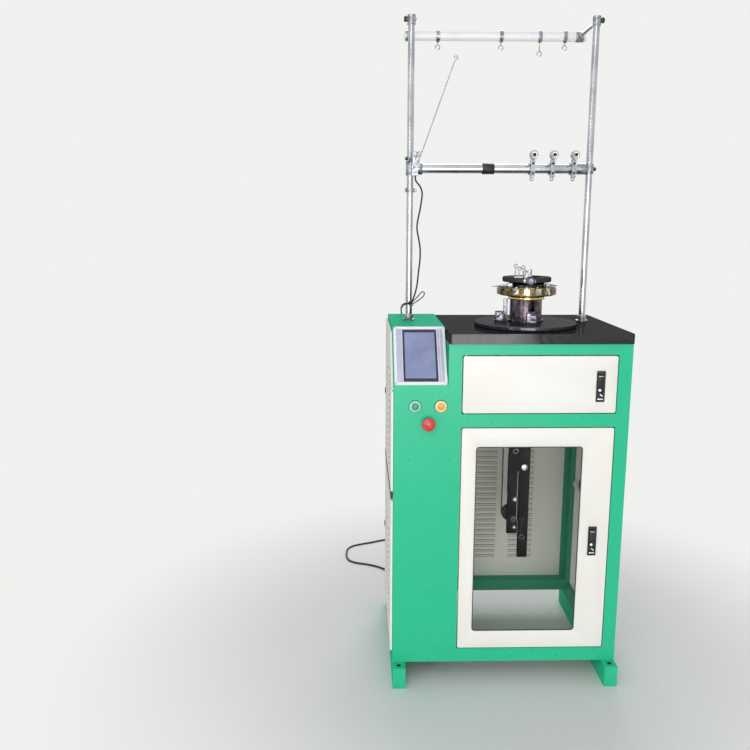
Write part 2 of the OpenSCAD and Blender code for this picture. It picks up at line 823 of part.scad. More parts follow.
module upper_latch_case() {
    color(black) place() latch_at(upper_latch_z) latch_case();
}
module upper_latch_lever() {
    color(black) place() latch_at(upper_latch_z) latch_lever();
}
module lower_latch_case() {
    color(black) place() latch_at(lower_latch_z) latch_case();
}
module lower_latch_lever() {
    color(black) place() latch_at(lower_latch_z) latch_lever();
}

// Control column fittings

// Screen housing with its raised frame and the recess of the glass.
module hmi_bezel() {
    side = (column_w - hmi_w) / 2;
    screen_low = (hmi_h - screen_h) / 2;
    color([0.9, 0.9, 0.94]) place() on_slope() translate([side, 0, 1]) difference() {
        union() {
            front_plate(-hmi_t, hmi_t) round_rect(0, 0, hmi_w, hmi_h, 3);
            slab(9, -eps, 26, hmi_w - 9, 30, hmi_h - 9);
        }
        slab((hmi_w - screen_w) / 2, -hmi_t - eps, screen_low, (hmi_w + screen_w) / 2,
            1.6 - hmi_t, screen_low + screen_h);
    }
}

// Glass of the screen, set into the frame.
module hmi_screen() {
    side = (column_w - hmi_w) / 2;
    low = (hmi_h - screen_h) / 2;
    play = 0.3;
    color([0.55, 0.59, 0.75]) place() on_slope() translate([side, 0, 1])
        slab((hmi_w - screen_w) / 2 + play, 0.4 - hmi_t, low + play,
            (hmi_w + screen_w) / 2 - play, 1.6 - hmi_t, low + screen_h - play);
}

// Bright rings of the two push buttons and the stop button's collar.
module button_rings() {
    color(steel) place() {
        for (x = [green_x, yellow_x])
            translate([x, 0, button_z]) rotate([90, 0, 0]) rotate_extrude()
                polygon([[cap_r + run, 0], [ring_r, 0], [ring_r, ring_h - 1.5],
                    [ring_r - 1.5, ring_h], [cap_r + run, ring_h]]);
        translate([stop_x, 0, stop_z]) rotate([90, 0, 0]) rotate_extrude()
            polygon([[stop_stem_r + run, 0], [stop_r - 4, 0], [stop_r - 4, 4],
                [stop_r - 6, 6], [stop_stem_r + run, 6]]);
    }
}

// One push button's cap at x, with a slightly rounded rim.
module button_cap(x) {
    top = ring_h + cap_out;
    translate([x, 0, button_z]) rotate([90, 0, 0]) rotate_extrude()
        polygon([[0, -8], [cap_r, -8], [cap_r, top - 1], [cap_r - 1, top], [0, top]]);
}
module green_button_cap() {
    color([0.1, 0.6, 0.5]) place() button_cap(green_x);
}
module yellow_button_cap() {
    color([0.95, 0.7, 0.15]) place() button_cap(yellow_x);
}

// Mushroom head of the stop button on its stem.
module estop_head() {
    color([0.85, 0.1, 0.1]) place() translate([stop_x, 0, stop_z]) rotate([90, 0, 0])
        rotate_extrude() polygon([[0, -16], [stop_stem_r, -16], [stop_stem_r, stop_out - 1],
            [stop_r - 1.5, stop_out - 1], [stop_r, stop_out + 0.5], [stop_r, stop_out + 5],
            [stop_r - 1.5, stop_out + 8.5], [stop_r - 5, stop_out + 10.5], [0, stop_out + 12]]);
}

// Knitting head

// Round plate under the head, with a chamfered rim and a bolt circle.
module bed_plate() {
    color([0.2, 0.2, 0.23]) place() at_head(table_top_z) difference() {
        rotate_extrude($fn = 96) polygon([[housing_bore_r, 0], [bed_r - 4, 0], [bed_r, 3],
            [bed_r, bed_t - 3], [bed_r - 3, bed_t], [housing_bore_r, bed_t]]);
        for (a = [30 : 60 : 330])
            rotate(a) translate([bed_r - 18, 0, bed_t - 6]) cylinder(h = 7, r = 5);
    }
}

slot_a = -80;

// Upright housing of the cylinder: a flanged tube with a front slot, and the
// bearing sleeve that reaches through the table.
module cylinder_housing() {
    color([0.25, 0.24, 0.26]) place() difference() {
        union() {
            at_head(bed_top) cylinder(h = housing_h, r = housing_r);
            at_head(bed_top) cylinder(h = 5, r = housing_r + 5);
            at_head(frame_top - 40) cylinder(h = bed_top - frame_top + 40, r = housing_bore_r - run);
        }
        at_head(bed_top + 6) cylinder(h = housing_h, r = housing_bore_r);
        at_head(frame_top - 41) cylinder(h = bed_top - frame_top + 48, r = shaft_r + run);
        at_head(bed_top + 32) rotate(slot_a) translate([10, -11, 0]) cube([60, 22, 34]);
    }
}

// Tricked cylinder on its hollow shaft, with the belt pulley at the bottom.
module needle_cylinder() {
    low = belt_z - belt_w / 2 - 3;
    land = bed_top + 6.3;
    top = cam_top - 6;
    color(steel) place() difference() {
        union() {
            at_head(low) cylinder(h = land - low + eps, r = shaft_r);
            at_head(land) cylinder(h = top - land, r = cyl_r);
            at_head(low) cylinder(h = 3, r = spindle_pulley_r + 2);
            at_head(low) cylinder(h = belt_w + 6, r = spindle_pulley_r);
            at_head(low + belt_w + 3) cylinder(h = 3, r = spindle_pulley_r + 2);
        }
        at_head(low - eps) cylinder(h = top - low + 1, r = cord_bore_r);
        for (i = [0 : needle_n - 1])
            at_head(needle_low) rotate(i * 360 / needle_n)
                translate([cyl_r - 2.5, -needle_t / 2 - run, 0])
                    cube([4, needle_t + 2 * run, top - needle_low + 1]);
    }
}

// Latch needles standing in the cylinder's grooves, each with a butt and a hook.
module latch_needles() {
    h = cam_top - needle_low;
    color([0.9, 0.9, 0.92]) place() for (i = [0 : needle_n - 1])
        at_head(needle_low) rotate(i * 360 / needle_n)
            translate([cyl_r - 2.3, needle_t / 2, 0]) rotate([90, 0, 0]) linear_extrude(needle_t)
                polygon([[0, 0.3], [2.6, 0.3], [2.6, 30], [4.6, 30], [4.6, 34], [2.6, 34],
                    [2.2, h - 6], [2.6, h - 2], [2, h], [0.8, h], [0.2, h - 2], [0, h - 8]]);
}

// Thin brass disc between the housing and the cam ring.
module brass_disc() {
    color([0.85, 0.72, 0.4]) place() at_head(housing_top) rotate_extrude($fn = 72)
        polygon([[housing_bore_r, 0], [brass_r - 1, 0], [brass_r, 1], [brass_r, brass_t - 1],
            [brass_r - 1, brass_t], [housing_bore_r, brass_t]]);
}

block_angles = [-122, -101, -79, -58, 58, 79, 101, 122];
block_w = 17;

// Cam ring with a stepped rim and eight pockets for the cam blocks.
module cam_ring() {
    color([0.45, 0.40, 0.30]) place() at_head(brass_top) difference() {
        rotate_extrude($fn = 96) polygon([[cam_bore_r, 0], [cam_r - 8, 0], [cam_r - 6, 3],
            [cam_r, 3], [cam_r, cam_h - 6], [cam_r - 3, cam_h - 3], [cam_r - 3, cam_h],
            [cam_bore_r, cam_h]]);
        for (a = block_angles)
            rotate(a) translate([cam_r - 12, -block_w / 2, 5]) cube([14, block_w, cam_h]);
    }
}

// Cam blocks in the ring's pockets, each with its adjusting screw.
module cam_blocks() {
    play = 0.05;
    color(steel) place() at_head(brass_top) for (a = block_angles) rotate(a) {
        translate([cam_r - 12 + play, -block_w / 2 + play, 5])
            cube([14, block_w - 2 * play, cam_h - 7]);
        translate([cam_r - 5, 0, cam_h - 2.1]) cylinder(h = 4, r = 3.5);
    }
}

// Dark body that carries the yarn carrier ring.
module dial_body() {
    color([0.14, 0.13, 0.15]) place() at_head(cam_top) rotate_extrude()
        polygon([[cam_bore_r, 0], [dial_r, 0], [dial_r, 4], [dial_r - 4, dial_h],
            [cam_bore_r + 2, dial_h]]);
}

// Black yarn carrier ring, split by a notch behind the knob's bracket.
module carrier_ring() {
    color(black) place() at_head(dial_top) difference() {
        rotate_extrude($fn = 96) polygon([[carrier_bore_r, 0], [carrier_r - 2, 0],
            [carrier_r, 2], [carrier_r, carrier_h - 2], [carrier_r - 2, carrier_h],
            [carrier_bore_r, carrier_h]]);
        translate([-24, -carrier_r - 1, -eps]) cube([36, 18, carrier_h + 1]);
        for (a = [20, 65, 110, 155, 200, 340])
            rotate(a) translate([(carrier_r + carrier_bore_r) / 2, 0, carrier_h - 5])
                cylinder(h = 6, r = 3.5);
    }
}

knob_x = head_x - 5;
knob_y = head_y - carrier_r + 1;
knob_z = dial_top + 6;

// Bright bracket in the carrier ring's notch, with the knob's stud and an upright finger.
module guide_bracket() {
    color(steel) place() {
        difference() {
            union() {
                slab(head_x - 23.9, knob_y, dial_top, head_x + 11.9, knob_y + 15, carrier_top - 4);
                slab(head_x - 21, knob_y + 2, carrier_top - 4 - eps, head_x, knob_y + 7,
                    carrier_top + 26);
                slab(head_x - 14, knob_y + 2, carrier_top + 26 - eps, head_x - 8, knob_y + 7,
                    carrier_top + 36);
            }
            rod_y(head_x - 15, knob_y, knob_y + 8, carrier_top + 14, 3);
        }
        rod_y(knob_x, knob_y - 12, knob_y + eps, knob_z, 3);
        rod_z(head_x - 2, knob_y + 4, cam_top, dial_top + eps, 3);
    }
}

// Knurled knob that turns on the bracket's stud.
module guide_knob() {
    color([0.4, 0.4, 0.42]) place() translate([knob_x, knob_y - 0.3, knob_z]) rotate([90, 0, 0])
        difference() {
            rotate_extrude() polygon([[3 + run, 0], [knob_r - 3, 0], [knob_r - 3, 2], [knob_r, 3],
                [knob_r, 9], [knob_r - 1.5, 10.5], [3 + run, 10.5]]);
            for (a = [0 : 30 : 330])
                rotate(a) translate([knob_r + 0.8, 0, 2]) cylinder(h = 9, r = 1.8, $fn = 24);
        }
}

// A ring eyelet in the x-z plane.
module eyelet(x, y, z, r, wire) {
    translate([x, y, z]) rotate([90, 0, 0]) rotate_extrude($fn = 32)
        translate([r, 0]) circle(wire, $fn = 16);
}

// Yarn guide rods with eyelets on the carrier ring, and the two pointed feeders
// on the cam ring.
module yarn_feeders() {
    left_x = head_x - feeder_left;
    right_x = head_x + feeder_right;
    feeder_y = head_y - feeder_front;
    color(steel) place() {
        for (p = [[-42, -38, 30], [-32, -46, 22], [-22, -50, 26]]) {
            rod_z(head_x + p[0], head_y + p[1], carrier_top, carrier_top + p[2], 2);
            eyelet(head_x + p[0], head_y + p[1], carrier_top + p[2] + 4, 4.5, 1.5);
        }
        slab(head_x - 47, head_y - 54, carrier_top, head_x - 17, head_y - 34, carrier_top + 3);
        slab(left_x, feeder_y - 5, cam_top, left_x + 12, feeder_y + 5, cam_top + 10);
        translate([left_x + 1, feeder_y, cam_top + 5]) rotate([0, -95, 0])
            cylinder(h = 48, r1 = 4, r2 = 1);
        slab(right_x + 13, feeder_y - 5, cam_top, right_x + 25, feeder_y + 5, cam_top + 10);
        translate([right_x + 24, feeder_y, cam_top + 5]) rotate([0, 95, 0])
            cylinder(h = 24, r1 = 4, r2 = 1);
    }
}

// Fittings on the bed plate: black stop post, drilled bracket and sensor clamp.
module head_brackets() {
    post_x = head_x - 66;
    color(black) place() {
        slab(post_x, head_y - 6, bed_top, post_x + 11, head_y + 6, bed_top + 66);
        difference() {
            union() {
                slab(post_x - 28, head_y - 16, bed_top, post_x - 2, head_y - 12, bed_top + 32);
                slab(post_x - 28, head_y - 16, bed_top, post_x - 2, head_y + 4, bed_top + 4);
            }
            for (p = [[-20, 12], [-9, 20], [-20, 25]])
                rod_y(post_x + p[0], head_y - 17, head_y - 11, bed_top + p[1], 2.5);
        }
        slab(head_x - 10, head_y - housing_r - 20, bed_top, head_x + 18, head_y - housing_r - 6,
            bed_top + 6);
        slab(head_x - 8, head_y - housing_r - 16, bed_top, head_x + 4, head_y - housing_r - 6,
            bed_top + 28);
        slab(head_x + 4 - eps, head_y - housing_r - 14, bed_top, head_x + 18,
            head_y - housing_r - 6, bed_top + 22);
        rod_y(head_x + 11, head_y - housing_r - 19, head_y - housing_r - 6, bed_top + 14, 5);
    }
}

// Drive

motor_x = head_x + motor_dx;
motor_y = head_y + motor_dy;
motor_plate_z = belt_z - belt_w / 2 - 14;

// Motor hung under the table by a plate and three standoffs clear of the belt.
module main_motor() {
    half = motor_w / 2 + 8;
    color([0.3, 0.32, 0.35]) place() difference() {
        union() {
            slab(motor_x - half, motor_y - half, motor_plate_z, motor_x + half, motor_y + half,
                motor_plate_z + 5);
            for (dx = [-half + 7, half - 7])
                for (dy = [-half + 7, half - 7])
                    if (dx > 0 || dy > 0)
                        rod_z(motor_x + dx, motor_y + dy, motor_plate_z, frame_top, 6);
            slab(motor_x - motor_w / 2, motor_y - motor_w / 2, motor_plate_z - motor_h,
                motor_x + motor_w / 2, motor_y + motor_w / 2, motor_plate_z);
            rod_z(motor_x, motor_y, motor_plate_z - motor_h - 22, motor_plate_z - motor_h + eps,
                motor_w / 2 - 8);
        }
        rod_z(motor_x, motor_y, motor_plate_z - 30, motor_plate_z + 6, 7 + run);
    }
}

// Flanged pulley with the motor's shaft.
module motor_pulley() {
    low = belt_z - belt_w / 2 - 3;
    color(steel) place() translate([motor_x, motor_y, 0]) {
        rod_z(0, 0, motor_plate_z - 25, low + eps, 7);
        rod_z(0, 0, low, low + 3, motor_pulley_r + 2);
        rod_z(0, 0, low, low + belt_w + 6, motor_pulley_r);
        rod_z(0, 0, low + belt_w + 3, low + belt_w + 6, motor_pulley_r + 2);
    }
}

// Outline round two circles at distance l along x: both circles and the
// four tangent points between them.
module two_circle_outline(r1, r2, l) {
    a = acos((r1 - r2) / l);
    circle(r1, $fn = 72);
    translate([l, 0]) circle(r2, $fn = 72);
    polygon([r1 * [cos(a), sin(a)], [l, 0] + r2 * [cos(a), sin(a)],
        [l, 0] + r2 * [cos(a), -sin(a)], r1 * [cos(a), -sin(a)]]);
}

// A flat belt loop round two pulleys with a small clearance.
module belt_loop(r1, r2, l) {
    play = 0.3;
    difference() {
        two_circle_outline(r1 + play + belt_t, r2 + play + belt_t, l);
        two_circle_outline(r1 + play, r2 + play, l);
    }
}

module drive_belt() {
    l = sqrt(motor_dx * motor_dx + motor_dy * motor_dy);
    play = 0.3;
    color([0.12, 0.12, 0.12]) place() at_head(belt_z - belt_w / 2 + play)
        rotate(atan2(motor_dy, motor_dx)) linear_extrude(belt_w - 2 * play)
            belt_loop(spindle_pulley_r, motor_pulley_r, l);
}

// Take-down

roller_y0 = bar_y + bar_t + 2;
roller_l = 39;
take_belt_y = roller_y0 + roller_l + 4;
take_belt_w = 14;
gear_y = take_belt_y + take_belt_w + 10;

// Yoke plate hung under the table by four rods, with the take-down gearbox.
module take_down_frame() {
    half = 62;
    rod_in = 8;
    box_half = 35;
    box_l = 90;
    y0 = head_y - half;
    y1 = gear_y + box_l + 2;
    color(black) place() difference() {
        union() {
            slab(head_x - half, y0, yoke_z, head_x + half, y1, yoke_z + 10);
            for (x = [head_x - half + rod_in, head_x + half - rod_in])
                for (y = [y0 + rod_in, y1 - rod_in])
                    rod_z(x, y, yoke_z + 10 - eps, frame_top, 6);
            slab(short_axis_x - box_half, gear_y, upper_pulley_z - box_half,
                short_axis_x + box_half, gear_y + box_l, yoke_z);
        }
        at_head(yoke_z - eps) cylinder(h = 11, r = 22);
        rod_y(short_axis_x, gear_y - eps, gear_y + 25, upper_pulley_z, 6 + run);
    }
}

// The long bar with its wide head, and the short bar held to it by a strap behind.
module take_down_bars() {
    x0 = short_axis_x - 19.5;
    x1 = long_axis_x + 17;
    slit = 3.5;
    split_x = long_axis_x - 13;
    split_z = 592;
    color(black) place() {
        difference() {
            front_plate(bar_y, bar_t) polygon([[split_x, bar_low_z], [x1, bar_low_z],
                [x1, yoke_z], [x0, yoke_z], [x0, split_z], [split_x, split_z]]);
            rod_y(long_axis_x, bar_y - 1, bar_y + bar_t + 1, roller_z, 5 + run);
        }
        difference() {
            union() {
                slab(x0, bar_y, bar_short_z, split_x - slit, bar_y + bar_t, split_z - 0.5);
                slab(x0, bar_y + bar_t - eps, split_z - 60, split_x - slit, bar_y + bar_t + 6,
                    split_z);
                slab(x0, bar_y + bar_t, split_z - eps, split_x - slit, bar_y + bar_t + 6,
                    split_z + 60);
            }
            rod_y(short_axis_x, bar_y - 1, bar_y + bar_t + 1, roller_z, 5 + run);
        }
    }
}

// Roller on the short bar, with the belt pulley on the same shaft.
module driven_roller() {
    color([0.2, 0.2, 0.2]) place() {
        rod_y(short_axis_x, bar_y - 2, take_belt_y + take_belt_w + 3, roller_z, 5);
        rod_y(short_axis_x, roller_y0, roller_y0 + roller_l, roller_z, roller_r);
        rod_y(short_axis_x, take_belt_y - 1, take_belt_y + take_belt_w + 1, roller_z, take_pulley_r);
    }
}

// Roller on the long bar.
module pressure_roller() {
    color([0.2, 0.2, 0.2]) place() {
        rod_y(long_axis_x, bar_y - 2, roller_y0 + roller_l, roller_z, 5);
        rod_y(long_axis_x, roller_y0, roller_y0 + roller_l, roller_z, roller_r);
    }
}

// Upper pulley of the take-down belt on the gearbox's shaft.
module take_down_pulley() {
    color([0.2, 0.2, 0.2]) place() {
        rod_y(short_axis_x, take_belt_y - 1, take_belt_y + take_belt_w + 1, upper_pulley_z,
            take_pulley_r);
        rod_y(short_axis_x, take_belt_y, gear_y + 20, upper_pulley_z, 6);
    }
}

module take_down_belt() {
    color([0.12, 0.12, 0.12]) place() translate([short_axis_x, take_belt_y + take_belt_w, roller_z])
        rotate([90, 0, 0]) linear_extrude(take_belt_w) rotate(90)
            belt_loop(take_pulley_r, take_pulley_r, upper_pulley_z - roller_z);
}

// Yarn stand

// Two tall posts, one on the column and one on the table.
module stand_posts() {
    color(steel) place() {
        rod_z(left_post_x, post_y, column_top - 10, post_top, post_r);
        rod_z(right_post_x, post_y, table_top_z - 12, post_top, post_r);
    }
}

collar_z = 1447;

// Collars of the posts: a turned foot at each base and a clamp ring on the left post.
module post_fittings() {
    bore = post_r + run;
    color(steel) place() {
        for (p = [[left_post_x, column_top], [right_post_x, table_top_z]])
            translate([p[0], post_y, p[1]]) rotate_extrude() polygon([[bore, 0], [post_r + 9, 0],
                [post_r + 9, 4], [post_r + 4, 6], [post_r + 4, 18], [post_r + 2.5, 20],
                [bore, 20]]);
        difference() {
            union() {
                rod_z(left_post_x, post_y, collar_z - 6, collar_z + 6, post_r + 5);
                rod_x(left_post_x + post_r + 1, left_post_x + post_r + 10, post_y, collar_z, 4);
            }
            rod_z(left_post_x, post_y, collar_z - 7, collar_z + 7, bore);
        }
    }
}

top_clamp_h = 26;

// One top arm: a clamp on the post's top, a rod back and a ring round the crossbar.
module top_arm(x, side) {
    rod_in = x + 7;
    difference() {
        union() {
            rod_z(x, post_y, post_top - top_clamp_h, post_top, post_r + 2.5);
            rod_y(rod_in, post_y, post_y + 24, top_bar_z, 8);
            rod_y(rod_in, post_y, top_bar_y - top_bar_r, top_bar_z, 5);
            rod_y(rod_in, top_bar_y - top_bar_r - 14, top_bar_y, top_bar_z, 8);
            rod_x(rod_in - 12, rod_in + 12, top_bar_y, top_bar_z, top_bar_r + 2);
            rod_x(min(x, x + side * 20), max(x, x + side * 20), post_y, top_bar_z, 3.5);
            rod_x(min(x + side * 13, x + side * 22), max(x + side * 13, x + side * 22), post_y,
                top_bar_z, 6.5);
        }
        rod_z(x, post_y, post_top - top_clamp_h - 1, post_top + 1, post_r + run);
        rod_x(rod_in - 13, rod_in + 13, top_bar_y, top_bar_z, top_bar_r + run);
    }
}

module top_arms() {
    color(steel) place() {
        top_arm(left_post_x, -1);
        top_arm(right_post_x, 1);
    }
}

// Top crossbar across both arms.
module top_crossbar() {
    color([0.92, 0.93, 0.95]) place()
        rod_x(left_post_x - 8, right_post_x + 27, top_bar_y, top_bar_z, top_bar_r);
}

// A collar on the crossbar with a pigtail hook that hangs down by drop.
module yarn_hook(x, drop) {
    wire = 1.5;
    loop_r = 7;
    loop_z = top_bar_z - top_bar_r - 6 - drop - loop_r;
    difference() {
        rod_x(x - 5, x + 5, top_bar_y, top_bar_z, top_bar_r + 4);
        rod_x(x - 6, x + 6, top_bar_y, top_bar_z, top_bar_r + run);
    }
    rod_z(x, top_bar_y, loop_z + loop_r - 1, top_bar_z - top_bar_r - 2, wire);
    translate([x, top_bar_y, loop_z]) rotate([90, 90, 0]) rotate_extrude(angle = 310, $fn = 36)
        translate([loop_r, 0]) circle(wire, $fn = 16);
}

// Hooks on the top crossbar: distance from the right post and length below the bar
hook_places = [[443, 6], [242, 6], [119, 24], [39, 6]];

module yarn_hooks() {
    color(steel) place() for (p = hook_places)
        yarn_hook(right_post_x - p[0], p[1]);
}

// Middle crossbar between the posts.
module mid_crossbar() {
    color(steel) place()
        rod_x(left_post_x + 22, right_post_x - 18, post_y, mid_bar_z, mid_bar_r);
}

// Distance of the sleeve's left end from the right post
coupling_in = 324;

// Black sleeve that joins the two lengths of the middle crossbar.
module bar_coupling() {
    x = right_post_x - coupling_in;
    color(black) place() difference() {
        rod_x(x, x + 36, post_y, mid_bar_z, mid_bar_r + 2.5);
        rod_x(x - 1, x + 37, post_y, mid_bar_z, mid_bar_r + run);
    }
}

// Distances of the tensioners from the right post
tension_places = [176, 116, 53];

// One yarn tensioner: a clamp on the bar, an upright plate, two spring discs on
// a pin at its top and an eyelet at its foot.
module tensioner(x) {
    plate_y = post_y - mid_bar_r - 14;
    difference() {
        union() {
            rod_x(x - 8, x + 8, post_y, mid_bar_z, mid_bar_r + 4);
            slab(x - 6, plate_y, mid_bar_z - 26, x + 6, post_y - mid_bar_r + 2, mid_bar_z + 26);
            rod_y(x, plate_y, plate_y + 5, mid_bar_z + 38, 9);
            slab(x - 4, plate_y, mid_bar_z + 26 - eps, x + 4, plate_y + 5, mid_bar_z + 32);
        }
        rod_x(x - 9, x + 9, post_y, mid_bar_z, mid_bar_r + run);
        for (z = [-14, 14])
            rod_y(x, plate_y - 1, plate_y + 6, mid_bar_z + z, 2.5);
    }
    rod_y(x, plate_y - 9, plate_y + eps, mid_bar_z + 38, 2.5);
    for (y = [plate_y - 3, plate_y - 6])
        rod_y(x, y, y + 1.2, mid_bar_z + 38, 13);
    eyelet(x - 3, plate_y + 2, mid_bar_z - 31, 4.5, 1.5);
}

module tensioners() {
    color(steel) place() for (dx = tension_places)
        tensioner(right_post_x - dx);
}

arm_y = post_y - arm_front;

// Clamps of the middle crossbar on both posts. The left one is a cross clamp of two
// collars and a web, with the stop motion's fan plate and the arm's pin; a ring with a
// hand screw sits on it.
module stop_motion_bracket() {
    bore = post_r + run;
    cross_h = 20;
    ring_up = cross_h + 12;
    color(steel) place() difference() {
        union() {
            rod_z(left_post_x, post_y, mid_bar_z - cross_h, mid_bar_z + cross_h, post_r + 3);
            rod_x(left_post_x + 8, left_post_x + clamp_reach, post_y, mid_bar_z,
                mid_bar_r + 4.5);
            slab(left_post_x + 4, post_y - 17, mid_bar_z - 21, left_post_x + 22, post_y + 14,
                mid_bar_z + 16);
            for (z = [-13, 11])
                rod_y(left_post_x + 14, post_y - 20, post_y - 16, mid_bar_z + z, 3.5);
            rod_z(left_post_x, post_y, mid_bar_z + cross_h - eps, mid_bar_z + ring_up, post_r + 2);
            translate([left_post_x, post_y, mid_bar_z + 26]) rotate([0, 0, -23]) {
                rod_y(0, -22, 2 - post_r, 0, 3);
                rod_y(0, -29, -18, 0, 7);
            }
            rod_y(arm_x, arm_y - 8, post_y - mid_bar_r - 1, arm_z, 3);
            rod_y(arm_x, arm_y + 6, post_y - mid_bar_r - 1, arm_z, 6);
            front_plate(arm_y + 5, 3) intersection() {
                translate([arm_x, arm_z]) circle(42);
                translate([arm_x, arm_z - 6])
                    polygon([[-10, 0], [5, 0], [12, 60], [-15, 60]]);
            }
            rod_z(right_post_x, post_y, mid_bar_z - 14, mid_bar_z + 14, post_r + 3);
            rod_x(right_post_x - 38, right_post_x - 8, post_y, mid_bar_z, mid_bar_r + 2.5);
            rod_x(right_post_x + post_r + 1, right_post_x + post_r + 10, post_y, mid_bar_z, 5);
        }
        rod_z(left_post_x, post_y, mid_bar_z - 22, mid_bar_z + ring_up + 1, bore);
        rod_x(left_post_x + 22, left_post_x + clamp_reach + 1, post_y, mid_bar_z,
            mid_bar_r + run);
        rod_z(right_post_x, post_y, mid_bar_z - mid_bar_r - 6, mid_bar_z + mid_bar_r + 6, bore);
        rod_x(right_post_x - 39, right_post_x - 18, post_y, mid_bar_z, mid_bar_r + run);
        for (p = [[-3, 14], [4, 34]])
            rod_y(arm_x + p[0], arm_y + 4, arm_y + 9, arm_z + p[1], 2.5);
    }
}

// Thin wire arm with a hub and an open loop at its tip, which drops when a yarn breaks.
module stop_motion_arm() {
    loop_r = 5;
    color(steel) place() translate([arm_x, arm_y, arm_z]) rotate([0, arm_lean, 0]) {
        difference() {
            rod_y(0, -6, 4, 0, 7);
            rod_y(0, -7, 5, 0, 3 + run);
        }
        rod_z(0, -1, 5, arm_l - 2 * loop_r, arm_r);
        translate([0, -1, arm_l - loop_r]) rotate([90, 90, 0]) rotate_extrude(angle = 300, $fn = 36)
            translate([loop_r, 0]) circle(arm_r, $fn = 16);
    }
}

// Cords

function on_curve(p, i, t) =
    let (a = p[max(i - 1, 0)], b = p[i], c = p[i + 1], d = p[min(i + 2, len(p) - 1)])
    0.5 * ((2 * b) + (c - a) * t + (2 * a - 5 * b + 4 * c - d) * t * t
        + (3 * b - a - 3 * c + d) * t * t * t);

// Points along the smooth curve through a route.
function curve_points(p, steps) = concat(
    [for (i = [0 : len(p) - 2]) for (s = [0 : steps - 1]) on_curve(p, i, s / steps)],
    [p[len(p) - 1]]);

// Directions along a row of points, and side directions carried along it without twist.
function unit(v) = v / norm(v);
function directions(p) = [for (i = [0 : len(p) - 1])
    unit(p[min(i + 1, len(p) - 1)] - p[max(i - 1, 0)])];
function side_directions(t, i, u) = i >= len(t) ? []
    : let (v = unit(u - (u * t[i]) * t[i])) concat([v], side_directions(t, i + 1, v));

// A round tube along a route, closed at both ends.
module tube_along(route, d, sides, steps) {
    p = curve_points(route, steps);
    n = len(p);
    t = directions(p);
    u = side_directions(t, 0, [1, 0.2, 0.1]);
    rings = [for (i = [0 : n - 1]) for (k = [0 : sides - 1])
        let (v = cross(t[i], u[i]))
        p[i] + d / 2 * (cos(k * 360 / sides) * u[i] + sin(k * 360 / sides) * v)];
    walls = [for (i = [0 : n - 2]) for (k = [0 : sides - 1])
        let (a = i * sides + k, b = i * sides + (k + 1) % sides)
        [a, a + sides, b + sides, b]];
    start = [for (k = [0 : sides - 1]) k];
    finish = [for (k = [sides - 1 : -1 : 0]) (n - 1) * sides + k];
    polyhedron(rings, concat([start], walls, [finish]));
}

module mains_lead() {
    color(black) {
        tube_along(mains_route, mains_d, 8, 1);
        tube_along(tail_route, mains_d, 8, 1);
    }
}

// Outer shape of the coiled length of the mains lead.
module mains_coil() {
    inner = coil_mean_r - coil_turn_w / 2 * mains_d;
    outer = coil_mean_r + coil_turn_w / 2 * mains_d;
    color(black) translate([coil_x, coil_y, 0]) rotate_extrude()
        round_rect(inner, 0, outer, coil_layers * mains_d, 3);
}

// Plug at the end of the mains lead, with its strain relief and flat pins.
module mains_plug() {
    at = tail_route[len(tail_route) - 1];
    back = tail_route[len(tail_route) - 2];
    turn = atan2(at[1] - back[1], at[0] - back[0]);
    root = 20;
    length = 34;
    color(black) translate([at[0], at[1], 0]) rotate(turn) {
        translate([0, 0, at[2]]) rotate([0, 90, 0]) cylinder(h = 22, r1 = mains_d / 2 + 0.5, r2 = 8);
        translate([root, 0, 0]) linear_extrude(24) round_rect(0, -19, length, 19, 7);
        for (y = [-9, 9])
            translate([root + length - 1, y, 14]) rotate([0, 90, 0]) translate([-1, -3, 0])
                cube([2, 6, 18]);
        translate([root + length - 1, 0, 5]) rotate([0, 90, 0]) translate([-3, -1, 0])
            cube([2, 2, 20]);
    }
}

// Glands of the mains lead and of the signal lead on the column's back.
module cable_glands() {
    color(black) {
        place() translate([mains_gland_x, body_d, mains_gland_z]) rotate([-90, 0, 0]) {
            cylinder(h = 7, r = 12, $fn = 6);
            cylinder(h = 14, r = 9.5);
            translate([0, 0, 14 - eps]) cylinder(h = mains_sleeve + eps, r1 = 8,
                r2 = mains_d / 2 + 0.8);
        }
        place() translate([signal_gland_x, body_d, signal_gland_z]) rotate([-90, 0, 0]) {
            cylinder(h = 5, r = 8, $fn = 6);
            cylinder(h = 10, r = 6);
            translate([0, 0, 10 - eps]) cylinder(h = 14 + eps, r1 = 5, r2 = signal_d / 2 + 0.6);
        }
    }
}

module signal_lead() {
    color(black) tube_along(signal_route, signal_d, 8, 1);
}

cabinet_frame();
front_panel();
column_cover();
foot_rails();
table_top();
back_panels();
left_upper_door();
left_lower_door();
right_side_door();
upper_front_door();
lower_front_door();
window_pane();
door_hinge_pins();
upper_latch_case();
upper_latch_lever();
lower_latch_case();
lower_latch_lever();
hmi_bezel();
hmi_screen();
button_rings();
green_button_cap();
yellow_button_cap();
estop_head();
bed_plate();
cylinder_housing();
needle_cylinder();
latch_needles();
brass_disc();
cam_ring();
cam_blocks();
dial_body();
carrier_ring();
guide_bracket();
guide_knob();
yarn_feeders();
head_brackets();
main_motor();
motor_pulley();
drive_belt();
take_down_frame();
take_down_bars();
driven_roller();
pressure_roller();
take_down_pulley();
take_down_belt();
stand_posts();
post_fittings();
top_arms();
top_crossbar();
yarn_hooks();
mid_crossbar();
bar_coupling();
tensioners();
stop_motion_bracket();
stop_motion_arm();
cable_glands();
mains_lead();
mains_coil();
mains_plug();
signal_lead();
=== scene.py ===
# %% [markdown]
# A circular knitting machine: steel cabinet, control column, knitting head and yarn stand.
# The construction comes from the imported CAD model, which is loaded as a fixed frame.
# Everything here is finish: paints, metals, cords, and the small pieces that catch the eye.

